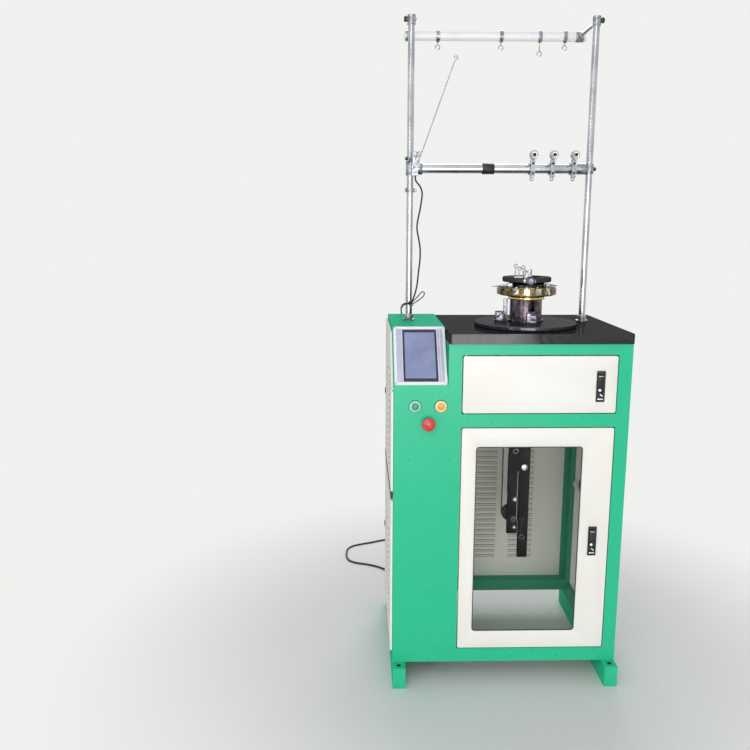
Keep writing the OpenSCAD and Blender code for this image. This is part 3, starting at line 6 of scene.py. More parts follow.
# %% Load the frame
import math

import bmesh
import bpy
import numpy as np
from mathutils import Matrix, Vector


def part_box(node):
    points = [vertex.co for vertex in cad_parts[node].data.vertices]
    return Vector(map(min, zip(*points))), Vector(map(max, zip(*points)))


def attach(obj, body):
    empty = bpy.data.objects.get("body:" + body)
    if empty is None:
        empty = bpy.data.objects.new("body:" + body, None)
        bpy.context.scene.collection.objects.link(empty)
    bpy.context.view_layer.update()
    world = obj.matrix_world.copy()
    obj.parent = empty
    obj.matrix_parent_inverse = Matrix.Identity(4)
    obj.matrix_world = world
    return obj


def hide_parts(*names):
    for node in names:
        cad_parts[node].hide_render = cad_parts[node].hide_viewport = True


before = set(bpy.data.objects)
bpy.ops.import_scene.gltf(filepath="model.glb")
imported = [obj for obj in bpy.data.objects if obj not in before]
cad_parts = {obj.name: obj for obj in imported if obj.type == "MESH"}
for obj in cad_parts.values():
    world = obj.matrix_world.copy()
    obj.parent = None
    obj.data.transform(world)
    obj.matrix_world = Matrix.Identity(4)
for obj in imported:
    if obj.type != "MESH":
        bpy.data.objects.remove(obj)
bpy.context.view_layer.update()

# %% [markdown]
# The machine was measured from its cabinet: x from the left face, y from the front face and
# z from the floor, in millimetres. The frame's origin is the middle of the four floor bolts.
# One function turns cabinet millimetres into frame metres, so that every place below is a size
# that a maker would know.

# %% Cabinet coordinates
LOW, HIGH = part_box("front_panel")
CABINET_LEFT, CABINET_FRONT = LOW.x, LOW.y


def at(x, y, z):
    """Frame metres of a point, or of arrays of points, in cabinet millimetres."""
    x, y, z = np.broadcast_arrays(np.asarray(x, float), y, z)
    return np.stack([CABINET_LEFT + x / 1000, CABINET_FRONT + y / 1000, z / 1000], axis=-1)


def mm(point):
    """Cabinet millimetres of a point in frame metres."""
    x, y, z = point
    return np.array([(x - CABINET_LEFT) * 1000, (y - CABINET_FRONT) * 1000, z * 1000])


print("cabinet width", round((HIGH.x - LOW.x) * 1000, 1), "mm")

# %% [markdown]
# The camera stands where the photographer stood: in front of the machine's left edge, a little
# above the table, looking slightly down. Its place and angles were solved from the cabinet's
# corners, so the lens is given by the focal length in pixels of a 750 pixel picture.

# %% Camera
PICTURE_PX = 750
FOCAL_PX = 784.85
CAMERA_MM = (-98.9, -2134.9, 1348.7)
YAW, PITCH, ROLL = (math.radians(a) for a in (1.240, 10.938, 0.090))

look = Vector((math.sin(YAW) * math.cos(PITCH), math.cos(YAW) * math.cos(PITCH), -math.sin(PITCH)))
level = Vector((math.cos(YAW), -math.sin(YAW), 0.0))
upright = level.cross(look)
cam_x = math.cos(ROLL) * level + math.sin(ROLL) * upright
cam_y = math.cos(ROLL) * upright - math.sin(ROLL) * level
camera_data = bpy.data.cameras.new("camera")
camera_data.sensor_fit = "HORIZONTAL"
camera_data.lens = FOCAL_PX / PICTURE_PX * camera_data.sensor_width
camera_data.clip_end = 60.0
camera = bpy.data.objects.new("camera", camera_data)
turn = Matrix((cam_x, cam_y, -look)).transposed().to_4x4()
camera.matrix_world = Matrix.Translation(Vector(at(*CAMERA_MM))) @ turn
bpy.context.scene.collection.objects.link(camera)
bpy.context.scene.camera = camera
bpy.context.scene.view_settings.view_transform = "Standard"
print("lens", round(camera_data.lens, 2), "mm")

# %% [markdown]
# Every new piece is a surface worked out with numpy. A shape is a pair: its points and its
# faces. Three ways of making one cover nearly all of this machine: turning a profile on a
# lathe, drawing a tube along a path, and cutting a plate with softened edges. All of them lay
# their points on a grid, so one function makes the faces for all.

# %% Surfaces on a grid
def grid_faces(rows, columns, close_rows=False, close_columns=True):
    """Four-sided faces that join each grid point to the next one along and the next one across."""
    i = np.arange(rows if close_rows else rows - 1)
    j = np.arange(columns if close_columns else columns - 1)
    i, j = (a.ravel() for a in np.meshgrid(i, j, indexing="ij"))
    i2, j2 = (i + 1) % rows, (j + 1) % columns
    return np.stack([i * columns + j, i2 * columns + j, i2 * columns + j2, i * columns + j2], 1)


def unit(v):
    """Vectors scaled to length one."""
    v = np.asarray(v, float)
    return v / np.maximum(np.linalg.norm(v, axis=-1, keepdims=True), 1e-12)


print("a closed grid of 3 by 8 points has", len(grid_faces(3, 8)), "faces")

# %% [markdown]
# Screws, knobs, lock bodies and rings are lathe work. The profile is drawn once, as radius and
# height, and a circle for each of its points makes the whole body. The directions in which such
# a part can stick out of the machine get names here.

# %% Lathe work
OUT_LEFT, OUT_RIGHT = (-1, 0, 0), (1, 0, 0)
OUT_FRONT, OUT_BACK = (0, -1, 0), (0, 1, 0)
OUT_TOP = (0, 0, 1)


def turned(profile, base, axis=OUT_TOP, count=48):
    """A lathe shape: each profile point (radius, height) in mm goes round the axis from base.

    P(i, a) = base + radius_i (cos a e1 + sin a e2) + height_i axis.
    """
    profile = np.asarray(profile, float)
    axis = unit(axis)
    side = unit(np.cross(axis, OUT_TOP if abs(axis[2]) < 0.9 else OUT_RIGHT))
    other = np.cross(axis, side)
    a = np.linspace(0, 2 * np.pi, count, endpoint=False)
    ring = np.cos(a)[:, None] * side + np.sin(a)[:, None] * other
    points = (np.asarray(base, float) + profile[:, :1, None] * ring
              + profile[:, 1:2, None] * axis)
    return points.reshape(-1, 3), grid_faces(len(profile), count).tolist()


print("a turned cone has", len(turned([(5, 0), (0, 9)], (0, 0, 0))[0]), "points")

# %% [markdown]
# Cords, ties and wires are tubes along a route. The route is a Catmull-Rom curve, which passes
# through every chosen point, so that the cord lies where it was measured. A circle is then
# carried along it. Blender's own curve objects could do this too, but here the tube's points
# stay in our hands, and its ends can be closed.

# %% Tubes along a route
def smooth_path(points, steps, closed=False):
    """A Catmull-Rom curve: each stretch is a cubic through its ends, aimed by their neighbours."""
    p = np.asarray(points, float)
    n = len(p)
    stretch = np.arange(n if closed else n - 1)
    if closed:
        a, b, c, d = (p[(stretch + k) % n] for k in (-1, 0, 1, 2))
    else:
        a, b, c, d = (p[np.clip(stretch + k, 0, n - 1)] for k in (-1, 0, 1, 2))
    t = (np.arange(steps) / steps)[None, :, None]
    a, b, c, d = (q[:, None, :] for q in (a, b, c, d))
    curve = 0.5 * (2 * b + (c - a) * t + (2 * a - 5 * b + 4 * c - d) * t ** 2
                   + (3 * b - a - 3 * c + d) * t ** 3)
    curve = curve.reshape(-1, 3)
    return curve if closed else np.vstack([curve, p[-1:]])


def swept(path, radius, count=12, closed=False):
    """A round tube: a circle of that radius, or one radius for each point, carried along a path.

    The circle's side direction at each point is the last one with its part along the path taken
    off, so that the tube doesn't twist.
    """
    path = np.asarray(path, float)
    ahead = np.roll(path, -1, 0) if closed else np.vstack([path[1:], path[-1:]])
    behind = np.roll(path, 1, 0) if closed else np.vstack([path[:1], path[:-1]])
    along = unit(ahead - behind)
    side = np.zeros_like(path)
    guess = np.array((0.31, 0.87, 0.38)) if abs(along[0][1]) < 0.8 else np.array((0.9, 0.1, 0.4))
    for k, direction in enumerate(along):
        guess = unit(guess - guess.dot(direction) * direction)
        side[k] = guess
    other = np.cross(along, side)
    a = np.linspace(0, 2 * np.pi, count, endpoint=False)
    radius = np.broadcast_to(np.asarray(radius, float), len(path))[:, None, None]
    ring = np.cos(a)[None, :, None] * side[:, None] + np.sin(a)[None, :, None] * other[:, None]
    points = (path[:, None] + radius * ring).reshape(-1, 3)
    faces = grid_faces(len(path), count, close_rows=closed).tolist()
    if not closed:
        last = (len(path) - 1) * count
        faces += [list(range(count))[::-1], [last + k for k in range(count)]]
    return points, faces


corner_route = smooth_path([(0, 0, 0), (1, 0, 0), (1, 1, 0)], 6)
print("a route of 3 points becomes", len(corner_route), "points")

# %% [markdown]
# Foils, latch plates and screen frames are flat parts. A press or a mould never leaves a sharp
# rim, and the narrow rounding is what catches the light. So a plate's outline moves inwards as
# its height grows, and a frame carries a whole profile round the outline.

# %% Plates and frames
def rounded_rect(w, h, r, corner=6):
    """Outline of a rectangle about the origin whose corners are quarter circles of radius r."""
    a = np.linspace(0, np.pi / 2, corner)
    arcs = []
    for k, (sx, sy) in enumerate([(1, 1), (-1, 1), (-1, -1), (1, -1)]):
        centre = np.array([sx * (w / 2 - r), sy * (h / 2 - r)])
        turn = a + k * np.pi / 2
        arcs.append(centre + r * np.stack([np.cos(turn), np.sin(turn)], 1))
    return np.vstack(arcs)


def outline_normals(outline):
    """Outward directions of a closed outline that runs anticlockwise."""
    along = unit(np.roll(outline, -1, 0) - np.roll(outline, 1, 0))
    return np.stack([along[:, 1], -along[:, 0]], 1)


def plate(outline, thick, edge, steps=3):
    """A plate with rounded rims: the outline moves in along its normals as a quarter circle
    of radius edge, at the lower rim and again at the upper one, and both faces are filled."""
    outline = np.asarray(outline, float)
    normal = outline_normals(outline)
    a = np.linspace(0, np.pi / 2, steps + 1)
    inset = np.concatenate([edge * (1 - np.sin(a)), edge * (1 - np.cos(a))])
    height = np.concatenate([edge * (1 - np.cos(a)), thick - edge * (1 - np.sin(a))])
    flat = outline[None] - inset[:, None, None] * normal[None]
    z = np.broadcast_to(height[:, None, None], flat.shape[:2] + (1,))
    points = np.concatenate([flat, z], 2).reshape(-1, 3)
    n = len(outline)
    faces = grid_faces(len(height), n).tolist()
    top = (len(height) - 1) * n
    return points, faces + [list(range(n))[::-1], [top + k for k in range(n)]]


def rim(outline, profile):
    """A frame round an outline: each profile point (in, up) moves the outline in along its
    normals and up, and the profile closes on itself."""
    outline = np.asarray(outline, float)
    profile = np.asarray(profile, float)
    flat = outline[None] - profile[:, 0][:, None, None] * outline_normals(outline)[None]
    z = np.broadcast_to(profile[:, 1][:, None, None], flat.shape[:2] + (1,))
    points = np.concatenate([flat, z], 2).reshape(-1, 3)
    return points, grid_faces(len(profile), len(outline), close_rows=True).tolist()


print("a rounded outline has", len(rounded_rect(10, 6, 1)), "points")

# %% [markdown]
# Plates and frames are drawn lying flat, which keeps their formulas plain. Each is then stood on
# the face where it belongs, by naming the directions of its width and its height.

# %% Standing a shape up
def stood(shape, origin, right=OUT_RIGHT, up=OUT_TOP):
    """A shape set on a face: its x runs along right, its y along up, its z out of the face."""
    points, faces = shape
    right, up = unit(right), unit(up)
    out = np.cross(right, up)
    return np.asarray(origin, float) + points @ np.stack([right, up, out]), faces


trial_points = stood(plate(rounded_rect(8, 4, 1), 2, 0.5), (5, 0, 0))[0]
print("a plate 2 mm thick, stood up, is", np.ptp(trial_points[:, 1]), "mm deep")

# %% [markdown]
# A piece is one or more shapes in cabinet millimetres, joined into one mesh object at the
# origin. Doubled points are merged, which closes the poles of turned shapes, faces are made to
# point outwards, and edges sharper than 35 degrees stay sharp while the rest is shaded smooth.

# %% Making a piece
made = []
MERGE_M = 2e-6


def piece(name, shapes, material, body="cabinet", sharp=35):
    """One mesh object from shapes in cabinet millimetres, with its finish and its body."""
    points, faces, start = [], [], 0
    for shape_points, shape_faces in shapes:
        points.append(np.asarray(shape_points, float))
        faces += [[start + k for k in face] for face in shape_faces]
        start += len(shape_points)
    points = np.vstack(points)
    mesh = bpy.data.meshes.new(name)
    mesh.from_pydata(at(points[:, 0], points[:, 1], points[:, 2]), [], faces)
    bm = bmesh.new()
    bm.from_mesh(mesh)
    bmesh.ops.remove_doubles(bm, verts=bm.verts, dist=MERGE_M)
    bmesh.ops.recalc_face_normals(bm, faces=bm.faces)
    bm.to_mesh(mesh)
    bm.free()
    mesh.shade_smooth()
    mesh.set_sharp_from_angle(angle=math.radians(sharp))
    mesh.materials.append(material)
    obj = bpy.data.objects.new(name, mesh)
    bpy.context.scene.collection.objects.link(obj)
    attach(obj, body)
    made.append(obj)
    print("made", name, "with", len(mesh.polygons), "faces")
    return obj


print("points closer than", MERGE_M * 1e6, "micrometres are merged")

# %% [markdown]
# Materials are node trees. One helper adds a node, sets its own properties and its sockets'
# values, and makes its links. Colours are written as sRGB hex, as a paint chart gives them, and
# one function turns them into the linear light that the renderer wants.

# %% Colours and nodes
def linear(hex_colour):
    """Linear red, green, blue and full alpha of an sRGB hex colour."""
    s = np.array([int(hex_colour[k:k + 2], 16) for k in (1, 3, 5)]) / 255
    s = np.where(s <= 0.04045, s / 12.92, ((s + 0.055) / 1.055) ** 2.4)
    return (*s.tolist(), 1.0)


def add(tree, kind, props=None, values=None, links=None):
    """Adds a node of that kind with its properties, socket values and incoming links."""
    new = tree.nodes.new(kind)
    for key, value in (props or {}).items():
        setattr(new, key, value)
    for key, value in (values or {}).items():
        new.inputs[key].default_value = value
    for key, output in (links or {}).items():
        tree.links.new(output, new.inputs[key])
    return new


print("cream as linear light", [round(part, 2) for part in linear("#FAF7F0")[:3]])

# %% [markdown]
# Nearly every finish starts from one Principled shader with patterns on Object coordinates, so
# that a pattern keeps its place on the machine. A soft pattern moves the colour between two
# close tones, as handling and age do. A fine one stands for the grain, the tool lines or the
# orange peel: it runs the roughness between two values, and lifts the surface by a few
# hundredths of a millimetre. Each pattern's scale comes from the real size of that feature.

# %% Tone and grain
def per_metre(size_mm):
    """Noise scale whose features are about that many millimetres across."""
    return 1000.0 / size_mm


def start_material(name, slot, values):
    """A material with one Principled shader, whose constants go straight on its sockets."""
    material = bpy.data.materials.new(name)
    material.use_nodes = True
    material["slot"] = slot
    tree = material.node_tree
    shader = tree.nodes["Principled BSDF"]
    for key, value in values.items():
        shader.inputs[key].default_value = value
    where = add(tree, "ShaderNodeTexCoord").outputs["Object"]
    return material, tree, shader, where


def tone_and_grain(tree, shader, patch, light, dark, grain=None, rough=None, depth_mm=0.0,
                   span=(0.35, 0.65)):
    """Colour that goes from dark to light while the patch pattern crosses the span. The grain
    pattern runs the roughness between two values and lifts the surface by depth_mm."""
    ramp = add(tree, "ShaderNodeValToRGB", links={"Fac": patch})
    for stop, place, tone in zip(ramp.color_ramp.elements, span, (dark, light)):
        stop.position = place
        stop.color = linear(tone)
    tree.links.new(ramp.outputs["Color"], shader.inputs["Base Color"])
    if rough:
        spread = add(tree, "ShaderNodeMapRange", values={"To Min": rough[0], "To Max": rough[1]},
                     links={"Value": grain})
        tree.links.new(spread.outputs["Result"], shader.inputs["Roughness"])
    if depth_mm:
        bump = add(tree, "ShaderNodeBump", values={"Strength": 1.0, "Distance": depth_mm / 1000},
                   links={"Height": grain})
        tree.links.new(bump.outputs["Normal"], shader.inputs["Normal"])


print("a 2.5 mm feature has noise scale", per_metre(2.5))

# %% [markdown]
# The cabinet is sheet steel sprayed with a glossy green enamel, and its doors are powder coated
# in cream. Sprayed enamel never lies quite flat: it has a shallow orange peel, a few millimetres
# across, that breaks up reflections, and workshop hands and dust leave it a little duller in
# large soft patches. Its gloss is an even share of mirror, so that the colour stays deep where a
# face is seen almost edge on.

# %% Enamel
def under_gloss(tree, shader, share, rough, factor):
    """Lays an even share of mirror over a plain shader, its roughness run by a pattern."""
    dull = add(tree, "ShaderNodeMapRange", values={"To Min": rough[0], "To Max": rough[1]},
               links={"Value": factor})
    mirror = add(tree, "ShaderNodeBsdfGlossy", links={"Roughness": dull.outputs["Result"]})
    mix = add(tree, "ShaderNodeMixShader", values={0: share},
              links={1: shader.outputs["BSDF"], 2: mirror.outputs["BSDF"]})
    tree.links.new(mix.outputs["Shader"], tree.nodes["Material Output"].inputs["Surface"])


def enamel(name, slot, light, dark, rough, peel_mm=2.5, peel_depth=0.03, share=0.05):
    """Sprayed enamel on sheet steel: two close tones, orange peel, and dull patches."""
    material, tree, shader, where = start_material(
        name, slot, {"Roughness": 0.7, "Specular IOR Level": 0.0})
    patch = add(tree, "ShaderNodeTexNoise", values={"Scale": per_metre(180), "Detail": 4.0},
                links={"Vector": where}).outputs["Fac"]
    peel = add(tree, "ShaderNodeTexNoise", values={"Scale": per_metre(peel_mm), "Detail": 1.0},
               links={"Vector": where}).outputs["Fac"]
    tone_and_grain(tree, shader, patch, light, dark, peel, depth_mm=peel_depth)
    dust = add(tree, "ShaderNodeTexNoise", values={"Scale": per_metre(22), "Detail": 6.0},
               links={"Vector": where}).outputs["Fac"]
    under_gloss(tree, shader, share, (rough - 0.1, rough + 0.1), dust)
    return material


GREEN_COAT = {"slot": "green_paint", "light": "#2DC796", "dark": "#2BC593", "rough": 0.3,
              "share": 0.038}
CREAM_COAT = {"slot": "cream_paint", "light": "#FAF7F0", "dark": "#F6F2E9", "rough": 0.42,
              "peel_mm": 1.6, "peel_depth": 0.02}
# The green is the machine's first impression: clear, even and fairly glossy.
GREEN = enamel("sprayed enamel green", **GREEN_COAT)
# The frame's copy carries painted shade on its inner faces, set further below.
FRAME_GREEN = enamel("sprayed enamel green, painted shade inside", **GREEN_COAT)
# Cream powder coat has a finer peel and is duller, which makes the doors look soft.
CREAM = enamel("powder coat cream", **CREAM_COAT)
UPPER_CREAM = enamel("powder coat cream, upper louvres", **CREAM_COAT)
LOWER_CREAM = enamel("powder coat cream, lower louvres", **CREAM_COAT)
BACK_CREAM = enamel("powder coat cream, painted shade in pockets", **CREAM_COAT)
# The top bar is the whitest thing on the machine, with a clear line of gloss along it.
WHITE_TUBE = enamel("white sprayed tube", "white_paint", "#FFFFFF", "#FDFDFE", 0.34, peel_mm=1.6,
                    peel_depth=0.02, share=0.12)
# Satin black keeps small parts dark, and still shows their edges.
SATIN_BLACK = enamel("satin black enamel", "black_paint", "#222226", "#17171A", 0.42)
# The take-down bars are a deeper black as painted shade of the cabinet, with hardly any gloss.
BAR_BLACK = enamel("black enamel on the bars, painted shade", "black_paint", "#101215", "#0A0B0D", 0.45,
                   share=0.02)
print("paints:", GREEN.name, CREAM.name, SATIN_BLACK.name)

# %% [markdown]
# Some colour here is painted shade. The frame's inner faces are darker and greyer than the
# outside, as painted shade inside the cabinet, and the front ends of the louvre hoods are darkened
# as painted shade of the pockets below them. Such a place is picked out by tests on position and
# on facing, and there the paint's colour moves towards another tone. It keeps one material for
# each piece, and needs no picture.

# %% Tones by place
def toned_where(material, tests, tone, share, pattern=None):
    """Moves a paint's colour towards a tone where every test holds. A test is a texture space,
    an axis, a comparison and a value: on Object it is a place, on Normal a facing. A pattern's
    value can thin the tone further."""
    tree = material.node_tree
    shader = tree.nodes["Principled BSDF"]
    coordinates = add(tree, "ShaderNodeTexCoord")
    part = add(tree, "ShaderNodeValue").outputs[0]
    part.default_value = share
    if pattern:
        part = add(tree, "ShaderNodeMath", props={"operation": "MULTIPLY"},
                   links={0: part, 1: pattern}).outputs["Value"]
    for space, axis, comparison, value in tests:
        split = add(tree, "ShaderNodeSeparateXYZ", links={0: coordinates.outputs[space]})
        held = add(tree, "ShaderNodeMath", props={"operation": comparison}, values={1: value},
                   links={0: split.outputs[axis]})
        part = add(tree, "ShaderNodeMath", props={"operation": "MULTIPLY"},
                   links={0: part, 1: held.outputs["Value"]}).outputs["Value"]
    clean = shader.inputs["Base Color"].links[0].from_socket
    mix = add(tree, "ShaderNodeMix", props={"data_type": "RGBA"}, links={"Factor": part})
    mix.inputs[7].default_value = linear(tone)
    tree.links.new(clean, mix.inputs[6])
    tree.links.new(mix.outputs[2], shader.inputs["Base Color"])


OUTSIDE = 0.003
# Painted shade: the frame's inner faces are darkened and greyed, as the cabinet's inside is in
# shade.
toned_where(FRAME_GREEN, [("Object", "X", "GREATER_THAN", LOW.x + OUTSIDE),
                          ("Object", "X", "LESS_THAN", HIGH.x - OUTSIDE),
                          ("Object", "Y", "LESS_THAN", -LOW.y - OUTSIDE)], "#3D9F7E", 0.9)
print("the frame is toned more than", OUTSIDE * 1000, "mm inside its outer faces")

# %% [markdown]
# A painted shade lies below each louvre hood: a dark streak under each hood that fades
# downwards. The louvres stand in columns with an even pitch, so a little arithmetic on the
# position finds them all: the distance to the nearest column's middle, and the fraction of the
# pitch above the lowest louvre.

# %% Painted shade under the louvres
HOOD_W, HOOD_PITCH = 0.084, 0.019
LOUVRE_SHADE, LOUVRE_SHADE_SHARE = "#857E72", 0.55


def louvre_shade_streaks(material, axis, first, step, low, rows):
    """Painted shade streaks below each louvre of a field: first is the first column's middle along
    the axis, step leads to the second column, and low is the lowest louvre's foot."""
    tree = material.node_tree
    place = add(tree, "ShaderNodeSeparateXYZ",
                links={0: add(tree, "ShaderNodeTexCoord").outputs["Object"]})
    found = []
    for output, steps in (
            (axis, (("SUBTRACT", first), ("PINGPONG", step / 2), ("LESS_THAN", HOOD_W / 2))),
            ("Z", (("SUBTRACT", low), ("DIVIDE", HOOD_PITCH), ("FRACT", 0.0)))):
        value = place.outputs[output]
        for operation, number in steps:
            value = add(tree, "ShaderNodeMath", props={"operation": operation},
                        values={1: number}, links={0: value}).outputs["Value"]
        found.append(value)
    in_column, up_the_pitch = found
    shade = add(tree, "ShaderNodeMapRange", props={"interpolation_type": "SMOOTHSTEP"},
                values={"From Min": 0.62, "From Max": 1.0}, links={"Value": up_the_pitch})
    streak = add(tree, "ShaderNodeMath", props={"operation": "MULTIPLY"},
                 links={0: in_column, 1: shade.outputs["Result"]}).outputs["Value"]
    toned_where(material, [("Object", axis, "GREATER_THAN", first - HOOD_W),
                           ("Object", axis, "LESS_THAN", first + step + HOOD_W),
                           ("Object", "Z", "GREATER_THAN", low - HOOD_PITCH / 2),
                           ("Object", "Z", "LESS_THAN", low + HOOD_PITCH * rows)],
                LOUVRE_SHADE, LOUVRE_SHADE_SHARE, streak)


# Painted shade under the hoods of the two column doors and of the back panel.
louvre_shade_streaks(UPPER_CREAM, "Y", -0.085, 0.144, 0.646, 15)
louvre_shade_streaks(LOWER_CREAM, "Y", -0.085, 0.144, 0.175, 15)
louvre_shade_streaks(BACK_CREAM, "X", 0.0065, 0.128, 0.195, 26)
DOOR_SKIN_X, BACK_SKIN_Y = -0.3398, 0.2301
# Painted shade: the front ends of the door louvre hoods are darkened to show the shaded pockets
# under them.
for paint in (UPPER_CREAM, LOWER_CREAM):
    toned_where(paint, [("Object", "X", "LESS_THAN", DOOR_SKIN_X),
                        ("Normal", "Y", "LESS_THAN", -0.5)], "#5C5048", 0.85)
# Painted shade: the back panel's hood faces seen through the slots are darkened as the shaded
# pockets.
toned_where(BACK_CREAM, [("Object", "Y", "GREATER_THAN", BACK_SKIN_Y),
                         ("Normal", "Y", "LESS_THAN", -0.1)], "#6E675A", 0.75)
print("louvre pitch", HOOD_PITCH * 1000, "mm")

# %% [markdown]
# The table is a ground slab under a thick black lacquer. It is glossy enough to mirror the yarn
# stand, and years of wiping leave fine arcs in the gloss and grey dust between them. The dust is
# a second noise that lifts the colour. The gloss is a thin even share of mirror over the black,
# so that the slab stays black when it is seen almost edge on. The head's bed plate is blackened
# steel and wears in the same way.

# %% Table lacquer
def lacquer(name, slot, light, dark, share, rough, dust_mm=40):
    """A black face with dust and wiped arcs, under a thin share of mirror."""
    material, tree, shader, where = start_material(
        name, slot, {"Roughness": 0.6, "Specular IOR Level": 0.0})
    dust = add(tree, "ShaderNodeTexNoise",
               values={"Scale": per_metre(dust_mm), "Detail": 5.0, "Roughness": 0.5},
               links={"Vector": where}).outputs["Fac"]
    tone_and_grain(tree, shader, dust, light, dark, span=(0.25, 0.85))
    arcs = add(tree, "ShaderNodeTexWave", props={"wave_type": "RINGS", "rings_direction": "Z"},
               values={"Scale": per_metre(46), "Distortion": 9.0, "Detail": 4.0},
               links={"Vector": where}).outputs["Fac"]
    under_gloss(tree, shader, share, rough, arcs)
    return material


# Deep and wet looking, with soft grey dust.
LACQUER = lacquer("wiped black lacquer", "table_black", "#2C2C30", "#1F1F22", 0.055, (0.05, 0.16))
# Colder and a little lighter, so that the disc stands out from the table.
BLACK_PLATE = lacquer("blackened steel plate", "dark_steel", "#34353A", "#232429", 0.09,
                      (0.1, 0.24), 22)
print("table:", LACQUER.name)

# %% [markdown]
# Metals differ by how they were finished. Hard chrome on the posts is near a mirror with faint
# draw lines along it. Turned fittings carry rings from the tool. Ground and oiled head parts are
# dark with a brown cast. All keep the default index of refraction and differ in tone, roughness
# and the direction of their fine lines. Real draw lines are finer than a picture can show, so
# they are drawn about a millimetre apart.

# %% Metals
def metal(name, slot, light, dark, rough, line_mm=1.2, stretch=(1, 1, 1), spread=0.12,
          depth=0.01, patch_mm=30):
    """Metal in two tones with fine lines, stretched along the way in which it was worked."""
    material, tree, shader, where = start_material(name, slot, {"Metallic": 1.0})
    patch = add(tree, "ShaderNodeTexNoise", values={"Scale": per_metre(patch_mm), "Detail": 5.0},
                links={"Vector": where}).outputs["Fac"]
    drawn = add(tree, "ShaderNodeMapping", values={"Scale": stretch}, links={"Vector": where})
    lines = add(tree, "ShaderNodeTexNoise", values={"Scale": per_metre(line_mm), "Detail": 3.0},
                links={"Vector": drawn.outputs["Vector"]}).outputs["Fac"]
    tone_and_grain(tree, shader, patch, light, dark, lines,
                   (max(rough - spread, 0.03), rough + spread), depth)
    return material


ALONG_Z, ALONG_X = (1, 1, 0.02), (0.02, 1, 1)
# Posts and bar: near mirrors, whose highlights run their whole length.
CHROME_POST = metal("hard chrome drawn upright", "chrome", "#C9CCD0", "#A6A9AF", 0.16,
                    stretch=ALONG_Z, spread=0.08, depth=0.002, patch_mm=90)
CHROME_BAR = metal("hard chrome drawn across", "chrome", "#D6D8DC", "#B4B7BC", 0.18,
                   stretch=ALONG_X, spread=0.08, depth=0.003, patch_mm=90)
# Small chrome screws and knobs: hard sparkling points.
CHROME_TRIM = metal("bright chrome trim", "chrome", "#DDDFE2", "#B3B6BB", 0.14, spread=0.06)
# Polished parts look almost white from any side, because their gloss is broad.
POLISHED_TRIM = metal("polished trim", "chrome", "#FFFFFF", "#F1F4F8", 0.34, spread=0.06)
# Ground cams: bright and dull in patches, partly dried oil and partly painted highlights.
CAM_STEEL = metal("ground cam steel", "chrome", "#EDE6D2", "#7C745F", 0.2, patch_mm=8)
# Needles: darker than the cylinder's lit edges, so that they read as fine lines.
NEEDLE_STEEL = metal("hardened needle steel", "dark_steel", "#86838A", "#4E4C52", 0.26, patch_mm=9)
# Turned fittings: tool rings spread each highlight sideways.
TURNED_STEEL = metal("turned steel", "steel", "#B9BBBE", "#84878C", 0.26, stretch=(1, 1, 6))
# Zinc plate: a cloudy bluish grey, and with passivation a lilac one.
ZINC_STEEL = metal("zinc plated steel", "steel", "#B4B7BB", "#7A7F86", 0.3, patch_mm=8)
LILAC_ZINC = metal("passivated zinc plate", "steel", "#A7A2B2", "#696573", 0.3, patch_mm=10)
# Housing and cylinder: dark and warm under a film of oil, with upright tool marks.
OILED_STEEL = metal("ground and oiled steel", "dark_steel", "#776C72", "#3C3439", 0.25,
                    stretch=(1, 1, 0.15), patch_mm=16)
# The cam ring: olive and dark brown, as old bronzing goes.
BRONZED_STEEL = metal("bronzed steel", "bronze_steel", "#8F7E5A", "#33291B", 0.3, patch_mm=11)
# The head's one warm bright line.
BRASS = metal("polished brass", "brass", "#F0D9A0", "#C29A52", 0.2, patch_mm=18)
# Blued steel: nearly black, with a cold edge.
GUNMETAL = metal("blued steel", "dark_steel", "#56565C", "#232327", 0.28, patch_mm=9)
print("metals:", CHROME_POST.name, OILED_STEEL.name, BRASS.name)

# %% [markdown]
# Moulded plastics are smooth with a trace of the mould's spark-eroded grain. Real grain is about
# a third of a millimetre; it is drawn twice as coarse, so that it shows. Rubber is dull, with
# talc in its pores. The cords have a PVC sheath, a little softer in gloss than hard plastic.

# %% Plastics and rubber
def moulded(name, slot, light, dark, rough, grain_mm=0.7, depth=0.02, coat=0.0):
    """Moulded plastic or rubber: close tones in patches and a fine even grain."""
    material, tree, shader, where = start_material(
        name, slot, {"IOR": 1.49, "Coat Weight": coat, "Coat Roughness": 0.05})
    patch = add(tree, "ShaderNodeTexNoise", values={"Scale": per_metre(14), "Detail": 3.0},
                links={"Vector": where}).outputs["Fac"]
    grain = add(tree, "ShaderNodeTexNoise", values={"Scale": per_metre(grain_mm), "Detail": 1.0},
                links={"Vector": where}).outputs["Fac"]
    tone_and_grain(tree, shader, patch, light, dark, grain, (rough - 0.06, rough + 0.06), depth)
    return material


# Nylon knobs and locks: black with a soft sheen.
BLACK_NYLON = moulded("moulded black nylon", "black_plastic", "#232326", "#161618", 0.4)
# The screen's frame: a cold clean white.
PALE_ABS = moulded("moulded white ABS", "pale_plastic", "#FDFDFF", "#F6F6FB", 0.32)
# The screen's foils: a lilac field and a dark border.
LILAC_FOIL = moulded("lilac front foil", "pale_plastic", "#CFCDE2", "#C2C0D8", 0.3)
DARK_FOIL = moulded("dark screen border foil", "pale_plastic", "#3A3C52", "#303247", 0.22)
# Lenses have a clear coat, which puts a wet point of light on them.
GREEN_LENS = moulded("green polycarbonate lens", "green_plastic", "#139E83", "#0A7B66", 0.22,
                     coat=0.6)
YELLOW_LENS = moulded("amber polycarbonate lens", "yellow_plastic", "#F6B93A", "#E9A022", 0.22,
                      coat=0.6)
# Pale rings whose tint is a painted reflection of the lenses in the chrome.
PALE_GREEN = moulded("pale green ring, painted reflection", "green_plastic", "#B9EFDF", "#8EDDC6", 0.3)
PALE_YELLOW = moulded("pale amber ring, painted reflection", "yellow_plastic", "#FDEFC0", "#F8DE93", 0.3)
# The stop button is the strongest colour on the machine, and glossy.
RED_ABS = moulded("red ABS", "red_plastic", "#E2403A", "#CE2A27", 0.24, coat=0.4)
